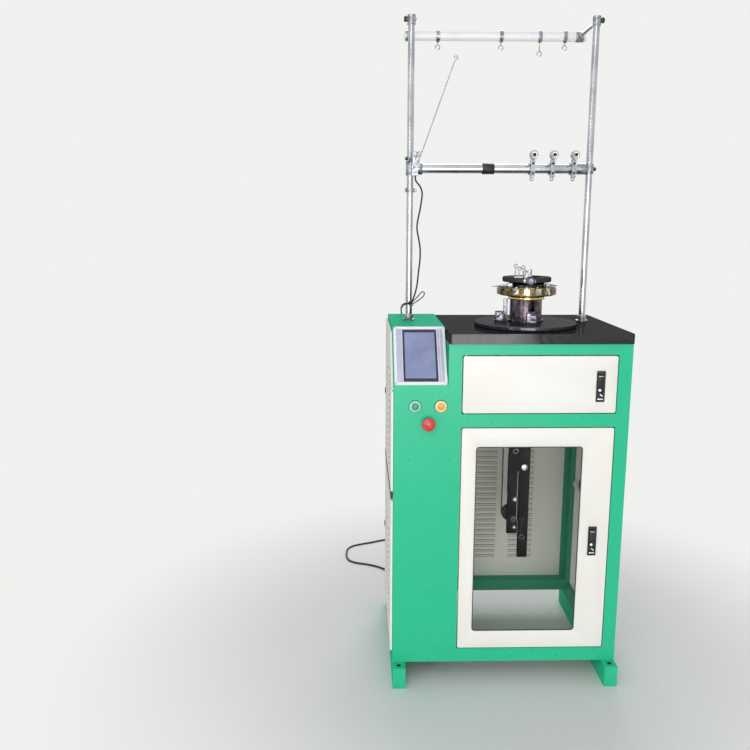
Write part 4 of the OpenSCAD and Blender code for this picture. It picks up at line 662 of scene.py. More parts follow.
# Rubber swallows light: belts, rollers and the window's seal have no highlight.
BELT_RUBBER = moulded("toothed belt rubber", "belt_rubber", "#26262A", "#18181A", 0.62, depth=0.05)
ROLLER_RUBBER = moulded("roller rubber", "roller_rubber", "#3A3A3D", "#242427", 0.55, depth=0.05)
SEAL = moulded("EPDM window seal", "black_plastic", "#4A4C4F", "#3A3B3E", 0.5, grain_mm=0.9)
# The sheath's soft gloss shows how the lead turns.
SHEATH = moulded("PVC sheath", "cord_sheath", "#1D1D20", "#121214", 0.38, grain_mm=1.2)
# Painted castings keep the sand mould's roughness.
CAST_PAINT = moulded("painted motor casting", "motor_grey", "#5E646C", "#474C54", 0.45,
                     grain_mm=1.8, depth=0.12)
print("plastics:", BLACK_NYLON.name, RED_ABS.name, SHEATH.name)

# %% [markdown]
# The screen is switched off, so its glass shows a lavender grey film with faint finger smears.
# The pixels are far finer than the picture, and are drawn a millimetre wide as a slight relief.

# %% Screen glass
def screen_glass():
    """A switched-off touch screen: a lavender grey film under glass."""
    material, tree, shader, where = start_material(
        "touch screen glass", "screen_glass",
        {"IOR": 1.5, "Roughness": 0.12, "Coat Weight": 0.8, "Coat Roughness": 0.04})
    smear = add(tree, "ShaderNodeTexNoise", values={"Scale": per_metre(70), "Detail": 3.0},
                links={"Vector": where}).outputs["Fac"]
    pixel = add(tree, "ShaderNodeTexNoise", values={"Scale": per_metre(1.0), "Detail": 1.0},
                links={"Vector": where}).outputs["Fac"]
    tone_and_grain(tree, shader, smear, "#949CC6", "#8089B4", pixel, depth_mm=0.004)
    return material


SCREEN = screen_glass()
print("screen:", SCREEN.name)

# %% [markdown]
# The window is clear acrylic, a few millimetres thick. Light goes straight through such a thin
# pane, so it is made of a plain see-through shader rather than of bending glass, and a part of
# its slant's gloss is mixed in. A faint smear keeps the gloss from being perfect.

# %% Clear pane
def clear_pane():
    """Clear acrylic that lets light through unbent, with its gloss added by the view's slant."""
    material = bpy.data.materials.new("clear acrylic pane")
    material.use_nodes = True
    material["slot"] = "clear_pane"
    tree = material.node_tree
    tree.nodes.remove(tree.nodes["Principled BSDF"])
    where = add(tree, "ShaderNodeTexCoord").outputs["Object"]
    smear = add(tree, "ShaderNodeTexNoise", values={"Scale": per_metre(90), "Detail": 4.0},
                links={"Vector": where}).outputs["Fac"]
    haze = add(tree, "ShaderNodeMapRange", values={"To Min": 0.02, "To Max": 0.1},
               links={"Value": smear})
    gloss = add(tree, "ShaderNodeBsdfGlossy", values={"Color": (0.9, 0.95, 0.95, 1)},
                links={"Roughness": haze.outputs["Result"]})
    through = add(tree, "ShaderNodeBsdfTransparent", values={"Color": (0.995, 0.99, 0.985, 1)})
    slant = add(tree, "ShaderNodeFresnel", values={"IOR": 1.49})
    share = add(tree, "ShaderNodeMath", props={"operation": "MULTIPLY"}, values={1: 0.2},
                links={0: slant.outputs["Fac"]})
    mix = add(tree, "ShaderNodeMixShader", links={
        "Fac": share.outputs["Value"], 1: through.outputs["BSDF"], 2: gloss.outputs["BSDF"]})
    tree.links.new(mix.outputs["Shader"], tree.nodes["Material Output"].inputs["Surface"])
    return material


PANE = clear_pane()
print("window:", PANE.name)

# %% [markdown]
# The mains lead leaves the column through a gland near the floor, lies in a loose loop beside
# the machine and is wound up behind it. The chosen route points are those of the CAD solid, as
# steps in millimetres from a place on the machine's back.

# %% Route of the mains lead
BACK_AT = at(76, 460, 0)
MAINS_POINTS = [
    (0, 40, 150), (0, 56, 149), (0, 76, 142), (0, 94, 124), (-1, 106, 98), (-2, 116, 68),
    (-4, 128, 38), (-7, 146, 15), (-12, 172, 5), (-22, 204, 4), (-34, 240, 4), (-50, 276, 4),
    (-74, 310, 4), (-108, 338, 4), (-148, 358, 4), (-184, 370, 4), (-212, 392, 4),
    (-224, 426, 4), (-225, 466, 4), (-221, 506, 4), (-200, 538, 4), (-164, 558, 4),
    (-120, 576, 4), (-74, 598, 4), (-28, 608, 4), (10, 604, 4), (44, 598, 4)]
TAIL_POINTS = [(92, 550, 20), (92, 530, 18), (93, 504, 12), (96, 478, 7), (102, 454, 8),
               (110, 432, 9)]


def from_place(place, points):
    """Route points in frame metres, from a place in frame metres and steps in millimetres."""
    return [tuple(np.array(place) + np.array(p) / 1000) for p in points]


MAINS_ROUTE = from_place(BACK_AT, MAINS_POINTS)
TAIL_ROUTE = from_place(BACK_AT, TAIL_POINTS)
print("mains lead: route of", len(MAINS_ROUTE) + len(TAIL_ROUTE), "points")

# %% [markdown]
# A lead wound by hand is no plain helix: its turns lie beside and on top of each other. Here the
# coil's centre line goes round evenly while its radius and height step from one place of the
# coil's section to the next. Each turn changes its place before the next one needs it, so that
# no turn passes through another.

# %% Coil of the mains lead
COIL_CENTRE = np.array(BACK_AT[:2]) + (0.044, 0.550)
COIL_PLACES = np.array([(0.048, 0.004), (0.040, 0.004), (0.040, 0.012), (0.048, 0.012),
                        (0.048, 0.020)])
COIL_TURNS = 4.25
FIRST_STEP, STEP_EARLIER, STEP_LENGTH = 20, 38, 34


def coil_turns(steps_per_turn=30):
    """The coil's centre line: it goes round clockwise while its radius and height step from one
    place to the next. Step k lies FIRST_STEP + STEP_EARLIER (k - 1) degrees before turn k is
    complete, and takes STEP_LENGTH degrees, eased as s s (3 - 2 s)."""
    a = np.linspace(0, 360 * COIL_TURNS, int(steps_per_turn * COIL_TURNS))
    place = np.zeros_like(a)
    for k in range(1, len(COIL_PLACES)):
        halfway = 360 * k - FIRST_STEP - STEP_EARLIER * (k - 1)
        s = np.clip((a - halfway) / STEP_LENGTH + 0.5, 0, 1)
        place += s * s * (3 - 2 * s)
    radius = np.interp(place, range(len(COIL_PLACES)), COIL_PLACES[:, 0])
    height = np.interp(place, range(len(COIL_PLACES)), COIL_PLACES[:, 1])
    world = np.radians(90 - a)
    return np.stack([COIL_CENTRE[0] + radius * np.cos(world),
                     COIL_CENTRE[1] + radius * np.sin(world), height], 1)


print("coil:", COIL_TURNS, "turns on", len(COIL_PLACES), "places")

# %% [markdown]
# The whole lead is one piece of fixed length: route, coil and tail in one tube. Its sheath is
# 8 mm thick, as three-core mains leads are.

# %% Mains lead
LEAD_D = 0.008


def path_length(path):
    """Sum of the path's steps."""
    return float(np.linalg.norm(np.diff(path, axis=0), axis=1).sum())


def cord_mesh(name, path, diameter, count=12):
    """A cord's tube along a path in frame metres."""
    points, faces = swept(path, diameter / 2, count)
    return piece(name, [(np.stack([mm(p) for p in points]), faces)], SHEATH)


mains_path = np.vstack([smooth_path(MAINS_ROUTE, 4)[:-1], coil_turns()[:-1],
                        smooth_path(TAIL_ROUTE, 4)])
mains_cord = cord_mesh("mains_cord", mains_path, LEAD_D)
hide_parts("mains_lead", "mains_coil")
print("mains lead", round(path_length(mains_path), 2), "m")

# %% [markdown]
# The stop motion's signal lead is thinner and limp. It hangs down beside the left post, is tied
# to it near the column's top, and goes over the back edge of the column into its own small
# gland. It is made as the mains lead is.

# %% Signal lead
SIGNAL_D = 0.005
SIGNAL_START = [(0, 24, 0), (0, 38, 1), (0, 48, 8), (0, 53, 22), (0, 53, 50), (-1, 46, 78),
                (-3, 24, 101), (-6, -12, 113)]
SIGNAL_FOOT = [(-17, 112, 25), (-18, 64, 32), (-18, 24, 40), (-15, -2, 48), (-5, -17, 53),
               (7, -21, 59), (16, -22, 80), (23, -22, 110)]
SIGNAL_RISE = [(27, -22, -307), (31, -22, -270), (31, -22, -235), (26, -22, -205),
               (21, -22, -177), (23, -22, -153), (29, -22, -123), (34, -22, -91),
               (35, -22, -71), (29, -19, -53), (18, -14, -39), (15, -12, -29), (15, -12, -21)]
SIGNAL_ROUTE = (from_place(at(48.5, 460, 960), SIGNAL_START)
                + from_place(at(58, 290, 1054), SIGNAL_FOOT)
                + from_place(at(58, 290, 1510), SIGNAL_RISE))
signal_path = smooth_path(SIGNAL_ROUTE, 4)
signal_cord = cord_mesh("signal_cord", signal_path, SIGNAL_D, 10)
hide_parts("signal_lead")
print("signal lead", round(path_length(signal_path), 2), "m")

# %% [markdown]
# The CAD nodes whose shape is right keep it and get their real finish. Their meshes are loose
# triangles, so Weld joins them, a planar Decimate leaves one face where many lay flat, and a
# narrow Bevel rounds the edges that a press or a file would leave round. Edge Split then keeps
# the flat faces flat.

# %% Dressing a CAD node
WELD_M = 2e-5
FLAT_DEGREES, BEVEL_DEGREES, SPLIT_DEGREES = 1.5, 40, 30


def dress(node, material, round_mm=0.0):
    """Gives a CAD node its material and softened edges; its mesh stays as it is."""
    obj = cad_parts[node]
    obj.data.materials.clear()
    obj.data.materials.append(material)
    obj.data.polygons.foreach_set("use_smooth", np.ones(len(obj.data.polygons), bool))
    weld = obj.modifiers.new("weld", "WELD")
    weld.merge_threshold = WELD_M
    if round_mm:
        flat = obj.modifiers.new("one face each", "DECIMATE")
        flat.decimate_type = "DISSOLVE"
        flat.angle_limit = math.radians(FLAT_DEGREES)
        soften = obj.modifiers.new("softened edges", "BEVEL")
        soften.width = round_mm / 1000
        soften.segments = 2
        soften.limit_method = "ANGLE"
        soften.angle_limit = math.radians(BEVEL_DEGREES)
        soften.harden_normals = True
    split = obj.modifiers.new("sharp edges", "EDGE_SPLIT")
    split.split_angle = math.radians(SPLIT_DEGREES)


print("edges sharper than", BEVEL_DEGREES, "degrees can be softened")

# %% [markdown]
# Each node's finish is what the real part is made of, and the number is the rounding of its
# edges in millimetres. Parts that were turned or drawn round in the CAD keep their edges.

# %% Finishes of the CAD nodes
FINISHES = {
    "cabinet_frame": (FRAME_GREEN, 0), "front_panel": (GREEN, 0), "column_cover": (GREEN, 0),
    "foot_rails": (GREEN, 1.5), "table_top": (LACQUER, 0), "back_panels": (BACK_CREAM, 0),
    "left_upper_door": (UPPER_CREAM, 0), "left_lower_door": (LOWER_CREAM, 0),
    "right_side_door": (CREAM, 0.8), "upper_front_door": (CREAM, 0.8),
    "lower_front_door": (CREAM, 0.8), "window_pane": (PANE, 0), "door_hinge_pins": (ZINC_STEEL, 0),
    "upper_latch_case": (SATIN_BLACK, 0.3), "upper_latch_lever": (SATIN_BLACK, 0.5),
    "lower_latch_case": (SATIN_BLACK, 0.3), "lower_latch_lever": (SATIN_BLACK, 0.5),
    "hmi_bezel": (PALE_ABS, 0.8), "hmi_screen": (SCREEN, 0), "button_rings": (TURNED_STEEL, 0),
    "green_button_cap": (GREEN_LENS, 0), "yellow_button_cap": (YELLOW_LENS, 0),
    "estop_head": (RED_ABS, 0), "bed_plate": (BLACK_PLATE, 0),
    "cylinder_housing": (OILED_STEEL, 0), "needle_cylinder": (OILED_STEEL, 0),
    "latch_needles": (NEEDLE_STEEL, 0), "brass_disc": (BRASS, 0), "cam_ring": (BRONZED_STEEL, 0),
    "cam_blocks": (CAM_STEEL, 0.4), "dial_body": (GUNMETAL, 0), "carrier_ring": (SATIN_BLACK, 0),
    "guide_bracket": (ZINC_STEEL, 0.4), "guide_knob": (GUNMETAL, 0),
    "yarn_feeders": (ZINC_STEEL, 0), "head_brackets": (LILAC_ZINC, 0.4),
    "main_motor": (CAST_PAINT, 0), "motor_pulley": (TURNED_STEEL, 0),
    "drive_belt": (BELT_RUBBER, 0), "take_down_frame": (BAR_BLACK, 0.6),
    "take_down_bars": (BAR_BLACK, 0.8), "driven_roller": (ROLLER_RUBBER, 0),
    "pressure_roller": (ROLLER_RUBBER, 0), "take_down_pulley": (GUNMETAL, 0),
    "take_down_belt": (BELT_RUBBER, 0), "stand_posts": (CHROME_POST, 0),
    "post_fittings": (TURNED_STEEL, 0), "top_arms": (ZINC_STEEL, 0),
    "top_crossbar": (WHITE_TUBE, 0), "yarn_hooks": (ZINC_STEEL, 0),
    "mid_crossbar": (CHROME_BAR, 0), "bar_coupling": (BLACK_NYLON, 0.5),
    "tensioners": (ZINC_STEEL, 0), "stop_motion_bracket": (ZINC_STEEL, 0.6),
    "stop_motion_arm": (ZINC_STEEL, 0), "cable_glands": (BLACK_NYLON, 0.4),
    "mains_plug": (BLACK_NYLON, 0.8)}
for node_name, (finish, softness) in FINISHES.items():
    dress(node_name, finish, softness)
print("dressed", len(FINISHES), "CAD nodes")

# %% [markdown]
# A narrow rubber lip holds the pane in the lower door. Its section is a small rounded hook that
# goes once round the window's outline, half a millimetre in front of the door.

# %% Window seal
DOOR_FACE = -1.0
WINDOW_LEFT, WINDOW_FOOT, WINDOW_RIGHT, WINDOW_HEAD = 235.0, 164.0, 537.0, 727.0
seal_section = [(0.2, -2.0), (0.2, 0.3), (0.0, 0.7), (-0.5, 0.8), (-0.9, 0.5), (-1.0, 0.1),
                (-1.2, 0.1), (-1.2, 0.6), (-0.6, 1.1), (0.6, 1.1), (1.3, 0.7), (1.5, 0.1),
                (1.5, -2.0)]
window_outline = rounded_rect(WINDOW_RIGHT - WINDOW_LEFT, WINDOW_HEAD - WINDOW_FOOT, 9, 9)
window_middle = ((WINDOW_LEFT + WINDOW_RIGHT) / 2, DOOR_FACE, (WINDOW_FOOT + WINDOW_HEAD) / 2)
piece("window_seal", [stood(rim(window_outline, seal_section), window_middle)], SEAL,
      body="lower_front_door")

# %% [markdown]
# The touch screen's front is a white moulded rim round a lilac foil, with the dark edge of the
# display showing inside two thin white lines. The slope leans back, so these plates are set on
# it with a right direction and an up direction that follows the slope.

# %% The screen's slope
SLOPE_Z, SLOPE_ANGLE = 905.0, math.atan2(115, 149)
SLOPE_UP = np.array((0.0, math.sin(SLOPE_ANGLE), math.cos(SLOPE_ANGLE)))
SLOPE_OUT = np.array((0.0, -math.cos(SLOPE_ANGLE), math.sin(SLOPE_ANGLE)))
SCREEN_X = 76.0
BEZEL_W, BEZEL_H, BEZEL_T = 148.0, 186.0, 6.0
GLASS_W, GLASS_H = 98.0, 168.0


def on_screen(x, up, out=0.0):
    """Cabinet millimetres of a place on the screen's front, from the front's middle."""
    foot = np.array((SCREEN_X, 0.0, SLOPE_Z)) + (1 + BEZEL_H / 2 + up) * SLOPE_UP
    return foot + np.array((x, 0.0, 0.0)) + (BEZEL_T + out) * SLOPE_OUT


def on_slope(shape, x=0.0, up=0.0, out=0.0):
    """A shape laid on the screen's front."""
    return stood(shape, on_screen(x, up, out), up=SLOPE_UP)


print("the slope leans back", round(math.degrees(SLOPE_ANGLE), 1), "degrees")

# %% [markdown]
# The rim stands a little above the glass, and the foils lie on it. Each is thinner than a
# millimetre, which is enough for a fine shadow along its edge.

# %% Touch screen front
rim_section = [(0.0, 0.0), (0.0, 0.7), (0.5, 1.3), (6.4, 1.3), (7.0, 0.7), (7.0, 0.0)]
piece("screen_rim", [on_slope(rim(rounded_rect(BEZEL_W - 0.8, BEZEL_H - 0.8, 3), rim_section))],
      PALE_ABS)
strip_w = (BEZEL_W - GLASS_W) / 2 - 9.5
strip_x = GLASS_W / 2 + 2 + strip_w / 2
side_foil = plate(rounded_rect(strip_w, GLASS_H + 6, 1.5), 0.4, 0.15)
piece("screen_side_foils", [on_slope(side_foil, x) for x in (-strip_x, strip_x)], LILAC_FOIL)
line_shape = plate(rounded_rect(1.3, GLASS_H + 6, 0.5), 0.6, 0.2)
line_places = (-GLASS_W / 2 - 0.9, GLASS_W / 2 + 0.9, GLASS_W / 2 + strip_w / 2 + 1)
piece("screen_lines", [on_slope(line_shape, x) for x in line_places], PALE_ABS)
BORDER_SUNK = -0.4
border_section = [(0.0, 0.0), (0.0, 0.3), (5.6, 0.3), (5.6, 0.0)]
border_end = plate(rounded_rect(GLASS_W - 2, 9.5, 0.8), 0.35, 0.1)
border_up = GLASS_H / 2 - 5.5
border = [on_slope(rim(rounded_rect(GLASS_W - 1, GLASS_H - 1, 1), border_section), out=BORDER_SUNK)]
border += [on_slope(border_end, up=side * border_up, out=BORDER_SUNK) for side in (-1, 1)]
piece("screen_border", border, DARK_FOIL)

# %% [markdown]
# Each floor bolt hole holds a black sleeve, painted shade that makes the holes look dark. It is
# a short tube with a thin lip on the rail.

# %% Painted shade in the bolt holes
FOOT_TOP = 64.0
BOLT_X, BOLT_Y = (19, 646), (-19.0, 479.0)
shade_sleeve = [(4.3, 0.0), (4.5, 0.4), (5.6, 0.5), (6.6, 0.3), (6.7, 0.05), (5.4, 0.0), (5.4, -20),
          (4.4, -20), (4.3, 0.0)]
piece("bolt_hole_shade_sleeves", [turned(shade_sleeve, (x, y, FOOT_TOP), OUT_TOP, 32)
                            for x in BOLT_X for y in BOLT_Y], BLACK_NYLON)

# %% [markdown]
# Two lit push buttons sit in bright rings. Each has a lens with a raised middle, a black washer
# behind whose dark edge is painted shade, and a pale tinted ring that is a painted reflection of
# the lens in the chrome. The stop button's mushroom has a shallow ring pressed into its face.

# %% Button faces
GREEN_AT, YELLOW_AT, STOP_AT = (60.0, 846.0), (132.0, 846.0), (97.0, 797.0)
CAP_FACE, RING_FACE, PANEL_FACE, STOP_FACE = -7.0, -4.0, 0, -25.0
lens = [(0, 1.5), (3, 1.35), (6, 0.7), (7, 0.2), (7.2, -0.4), (0, -0.4)]
reflection_ring = [(11.9, -0.2), (12.1, 0.7), (13.3, 1.0), (14.9, 0.7), (16.6, -0.9), (16.6, -1.6)]
shade_washer = [(16.5, 0.0), (16.5, 0.9), (17.6, 0.9), (18.2, 0.3), (18.2, 0.0)]
for name, (x, z), clear, button in (("green_lens", GREEN_AT, GREEN_LENS, "green_button"),
                                    ("yellow_lens", YELLOW_AT, YELLOW_LENS, "yellow_button")):
    piece(name, [turned(lens, (x, CAP_FACE, z), OUT_FRONT)], clear, button)
# Painted shade: a black washer round each ring gives the ring its shadow.
piece("button_shade_washers", [turned(shade_washer, (x, PANEL_FACE, z), OUT_FRONT)
                         for x, z in (GREEN_AT, YELLOW_AT)], BLACK_NYLON)
# Painted reflection: the pale tinted rings stand for the lens colour reflected in the chrome ring.
for name, (x, z), pale in (("green_reflection_ring", GREEN_AT, PALE_GREEN),
                           ("yellow_reflection_ring", YELLOW_AT, PALE_YELLOW)):
    piece(name, [turned(reflection_ring, (x, RING_FACE, z), OUT_FRONT)], pale)
stop_ring = [(6.0, -0.3), (6.3, 0.5), (7.2, 0.8), (9.2, 0.5), (11.2, -0.2), (12.4, -0.8), (9, -1)]
piece("stop_face_ring", [turned(stop_ring, (STOP_AT[0], STOP_FACE, STOP_AT[1]), OUT_FRONT)],
      RED_ABS, "stop_button")

# %% [markdown]
# Screws are turned heads with a socket. One function makes each kind of head, and every fitting
# calls it with its own places. Painted screws hold the column's front; bright ones hold the back
# sheets and the metal parts.

# %% Screw heads
def cap_screw(place, axis, r=4.0, h=3.0):
    """A socket head: a cylinder with a chamfered rim and a round hole sunk in its top."""
    head = turned([(0, 0), (r, 0), (r, h - 0.5), (r - 0.5, h), (r * 0.55, h)], place, axis, 24)
    socket = turned([(r * 0.55, h), (r * 0.5, h - 0.2), (r * 0.5, h * 0.4), (0, h * 0.35)],
                    place, axis, 24)
    return [head, socket]


def round_screw(place, axis, r=3.2, h=1.6):
    """A low domed head with a dimple: (r cos a, h sin a) from the rim up, then a hollow."""
    a = np.linspace(0, np.pi / 2, 6)
    dome = [(0, 0), (r, 0)] + [(r * math.cos(k), h * math.sin(k) + 0.2) for k in a[:-2]]
    return [turned(dome + [(r * 0.35, h), (r * 0.2, h * 0.6), (0, h * 0.6)], place, axis, 20)]


COLUMN_SCREWS = [(x, z) for x in (43, 157) for z in (690, 617)]
column_screws = [round_screw((x, PANEL_FACE, z), OUT_FRONT) for x, z in COLUMN_SCREWS]
piece("column_screws", sum(column_screws, []), GREEN)
CABINET_D = 460
BACK_SCREWS = [(x, z) for across, up in (((166, 330, 505, 651), (136, 1006)),
                                         ((166, 651), (420, 720)), ((14, 138), (500, 890)))
               for x in across for z in up]
back_screws = [round_screw((x, CABINET_D, z), OUT_BACK, 4, 2) for x, z in BACK_SCREWS]
piece("back_screws", sum(back_screws, []), ZINC_STEEL)
print("screws", len(column_screws) + len(back_screws))

# %% [markdown]
# Each front latch is a black plate with a swinging handle. What shows from a distance is its
# round lock and three polished strips that are painted highlights: a line above the handle, the
# tip of the tongue below the lock and a pale catch at the foot.

# %% Latch trim
LATCHES = {"upper": 902.0, "lower": 444.0}
LATCH_X, LATCH_FACE = 578.0, -4.0


def on_latch(shape, z, x, rise, out=0.0, right=OUT_RIGHT, up=OUT_TOP):
    """A shape laid on the plate of the latch whose middle is at height z."""
    return stood(shape, (LATCH_X + x, LATCH_FACE - out, z + rise), right, up)


lock = [(0, 2.6), (0.9, 2.5), (1.1, 2.1), (1.4, 2.5), (3.0, 2.2), (4.2, 1.4), (5.0, 0.2)]
# Painted highlights: the line, the tongue tip and the foot catch are bright strips where light
# catches the latch.
highlight_line = plate(rounded_rect(13, 1.4, 0.4), 0.5, 0.15)
foot_highlight = plate(rounded_rect(16, 3.6, 1.2), 0.9, 0.4)
tongue_highlight = plate(rounded_rect(9, 3.4, 1.2), 1.4, 0.5)
for name, z in LATCHES.items():
    bright = [turned(lock, (LATCH_X - 2, LATCH_FACE, z - 11), OUT_FRONT, 32),
              on_latch(highlight_line, z, 0, 29, 1.0), on_latch(foot_highlight, z, 0, -36),
              on_latch(tongue_highlight, z, 2, -25, 1.5, right=(0.8, 0, -0.6), up=(0.6, 0, 0.8))]
    piece(name + "_latch_lock_and_highlights", bright, POLISHED_TRIM, name + "_front_door")

# %% [markdown]
# Quarter-turn locks close the side doors: a round body with a raised ring and a sunk slot face,
# which is lathe work again. The column's two doors come first.

# %% Side door locks
def quarter_turn(place, axis, r=11.0):
    """A round lock body with a raised ring and a sunk slot face."""
    return turned([(r - 1, -0.5), (r, 0), (r, 1.6), (r - 1.6, 2.6), (r - 3.4, 2.6), (r - 3.8, 1.4),
                   (2.6, 1.4), (2.2, 0.7), (0, 0.7)], place, axis, 36)


LEFT_SKIN, RIGHT_SKIN = -7.0, 665
COLUMN_LOCK_Y = 435
for door, z in (("left_upper_door", 800.0), ("left_lower_door", 330.0)):
    piece(door + "_lock", [quarter_turn((LEFT_SKIN, COLUMN_LOCK_Y, z), OUT_LEFT)], BLACK_NYLON, door)

# %% [markdown]
# A dark strip is painted shade of the gap where the column's side doors meet. It lies along the
# foot of the upper door and goes round its front edge. Without it the two doors would look like
# one from the front.

# %% Painted shade between the side doors
DOOR_FOOT = mm(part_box("left_upper_door")[0])[2]
STRIP_LONG, STRIP_H, STRIP_LIFT, DOOR_MIDDLE_Y = 449, 22.0, 0.3, 229.4
strip_z = DOOR_FOOT + STRIP_H / 2 + STRIP_LIFT
along_the_door = stood(plate(rounded_rect(STRIP_LONG, STRIP_H, 1.5), 1.6, 0.5),
                       (LEFT_SKIN + 0.9, DOOR_MIDDLE_Y, strip_z), OUT_FRONT)
round_the_edge = stood(plate(rounded_rect(6.2, STRIP_H, 1.2), 1.4, 0.5), (-4.5, 4.7, strip_z))
piece("left_door_gap_shade_strip", [along_the_door, round_the_edge], BLACK_NYLON, "left_upper_door")

# %% [markdown]
# The right door has the same lock outside. A slam latch holds it from inside, where it shows
# through the window: a pressed case, its tongue and two screws.

# %% Right door's lock and slam latch
piece("right_side_door_lock", [quarter_turn((RIGHT_SKIN, 398, 470), OUT_RIGHT)], BLACK_NYLON,
      "right_side_door")
SLAM_X, SLAM_Y, SLAM_Z = 662, 396, 470
slam_case = plate(rounded_rect(26, 40, 3), 9, 1.2)
slam_tongue = plate(rounded_rect(12, 14, 2), 5, 1.0)
slam = [stood(slam_case, (SLAM_X, SLAM_Y, SLAM_Z), OUT_FRONT),
        stood(slam_tongue, (SLAM_X - 4, SLAM_Y + 10, SLAM_Z), OUT_FRONT)]
for rise in (12, -12):
    slam += cap_screw((SLAM_X - 9, SLAM_Y, SLAM_Z + rise), OUT_LEFT, 3, 2)
piece("right_door_slam_latch", slam, ZINC_STEEL, "right_side_door")

# %% [markdown]
# The yarn stand's clamps are closed with black hand knobs. A hand knob is a turned body whose
# radius also rises and falls eight times round, which gives the fingers their hold. The small
# collar knobs have twelve shallow lobes, as knurling seen from afar.

# %% Hand knobs
def lobed(profile, place, axis, lobes=8, depth=0.09, count=64):
    """A turned body whose radius is multiplied by 1 + depth cos(lobes a)."""
    points, faces = turned(profile, (0, 0, 0), OUT_TOP, count)
    a = np.arctan2(points[:, 1], points[:, 0])
    points[:, :2] *= (1 + depth * np.cos(lobes * a))[:, None]
    axis = unit(axis)
    side = unit(np.cross(axis, OUT_TOP if abs(axis[2]) < 0.9 else OUT_RIGHT))
    return np.asarray(place, float) + points @ np.stack([side, np.cross(axis, side), axis]), faces


POST_Y, LEFT_POST, RIGHT_POST = 290.0, 58.0, 598.0
KNOB_OUT, COLLAR_KNOB_OUT = 12.6, 11.6
TOP_CLAMP_Z, MID_BAR_Z, RING_COLLAR_Z = 1930, 1510.0, 1447
SCREW_A = math.radians(23)
SCREW_OUT = np.array((-math.sin(SCREW_A), -math.cos(SCREW_A), 0.0))
hand_knob = [(0, 0), (5, 0), (6, 0.8), (7.4, 2.2), (7.6, 4), (7.6, 7), (7, 8.6), (4.6, 9.8),
             (0, 10)]
knob_places = [((LEFT_POST - KNOB_OUT, POST_Y, TOP_CLAMP_Z), OUT_LEFT),
               ((RIGHT_POST + KNOB_OUT, POST_Y, TOP_CLAMP_Z), OUT_RIGHT),
               (np.array((LEFT_POST, POST_Y, 1536)) + 19.4 * SCREW_OUT, SCREW_OUT)]
piece("stand_hand_knobs", [lobed(hand_knob, place, axis) for place, axis in knob_places],
      BLACK_NYLON)
collar_knob = [(0, 0), (4, 0), (5.0, 0.8), (5.4, 2), (5.4, 6.4), (4.8, 7.6), (0, 8)]
for name, x, z, metal_finish in (("ring_collar_knob", LEFT_POST, RING_COLLAR_Z, CHROME_TRIM),
                                 ("bar_clamp_knob", RIGHT_POST, MID_BAR_Z, GUNMETAL)):
    knob = lobed(collar_knob, (x + COLLAR_KNOB_OUT, POST_Y, z), OUT_RIGHT, 12, 0.05)
    piece(name, [knob], metal_finish)

# %% [markdown]
# A nylon tie holds the signal lead to the post, and above it the surplus lead is folded into a
# small loop. The tie is a flat band: a thin section carried once round the post, with its tail.

# %% Cable tie and spare loop
def band(centre, radius, wide, thick, count=40):
    """A flat ring: a small section with cut corners turned about the upright through centre."""
    section = [(radius, 0), (radius + thick, 0.4), (radius + thick, wide - 0.4), (radius, wide)]
    return turned(section + section[:1], centre, OUT_TOP, count)


tie = [band((LEFT_POST, POST_Y, 1104), 10.2, 4, 1.2), band((50, 272, 1104.5), 4.0, 3.6, 1.1, 24)]
tie_tail = smooth_path([(47, 269, 1107), (42, 266, 1108), (35, 264, 1103), (30, 263, 1095)], 5)
tie.append(swept(tie_tail, np.linspace(1.6, 0.8, len(tie_tail)), 8))
tie.append(swept(smooth_path([(56, 268, 1104), (64, 264, 1100), (71, 262, 1104)], 5), 1.1, 8))
piece("cable_tie", tie, BLACK_NYLON)
loop_route = [(64, 269, 1108), (74, 266, 1119), (84, 264, 1130), (96, 263, 1143), (103, 263, 1141),
              (101, 263, 1131), (90, 264, 1121), (76, 265, 1111), (62, 266, 1103)]
piece("spare_loop", [swept(smooth_path(loop_route, 6), 1.6, 10)], SHEATH)

# %% [markdown]
# Each tensioner presses the yarn between two polished discs. A small coil spring and a knurled
# nut on the same pin set the pressure. The spring is a helix of fine wire.

# %% A coil spring
def coil_spring(start, axis, length, radius, wire, turns):
    """A helix: radius (cos a, sin a) about the axis, rising evenly, swept with fine wire."""
    t = np.linspace(0, 1, int(turns * 14))
    a = 2 * np.pi * turns * t
    axis = unit(axis)
    side = unit(np.cross(axis, OUT_TOP))
    other = np.cross(axis, side)
    path = (np.asarray(start, float) + radius * np.cos(a)[:, None] * side
            + radius * np.sin(a)[:, None] * other + (length * t)[:, None] * axis)
    return swept(path, wire, 6)


trial_spring = coil_spring((0, 0, 0), OUT_FRONT, 9, 3.6, 0.5, 6)
print("a spring of 6 turns has", len(trial_spring[0]), "points")

# %% [markdown]
# Three tensioners stand on the middle bar. Discs, springs and nuts are one piece each for all
# three, since they share a finish and never move apart.

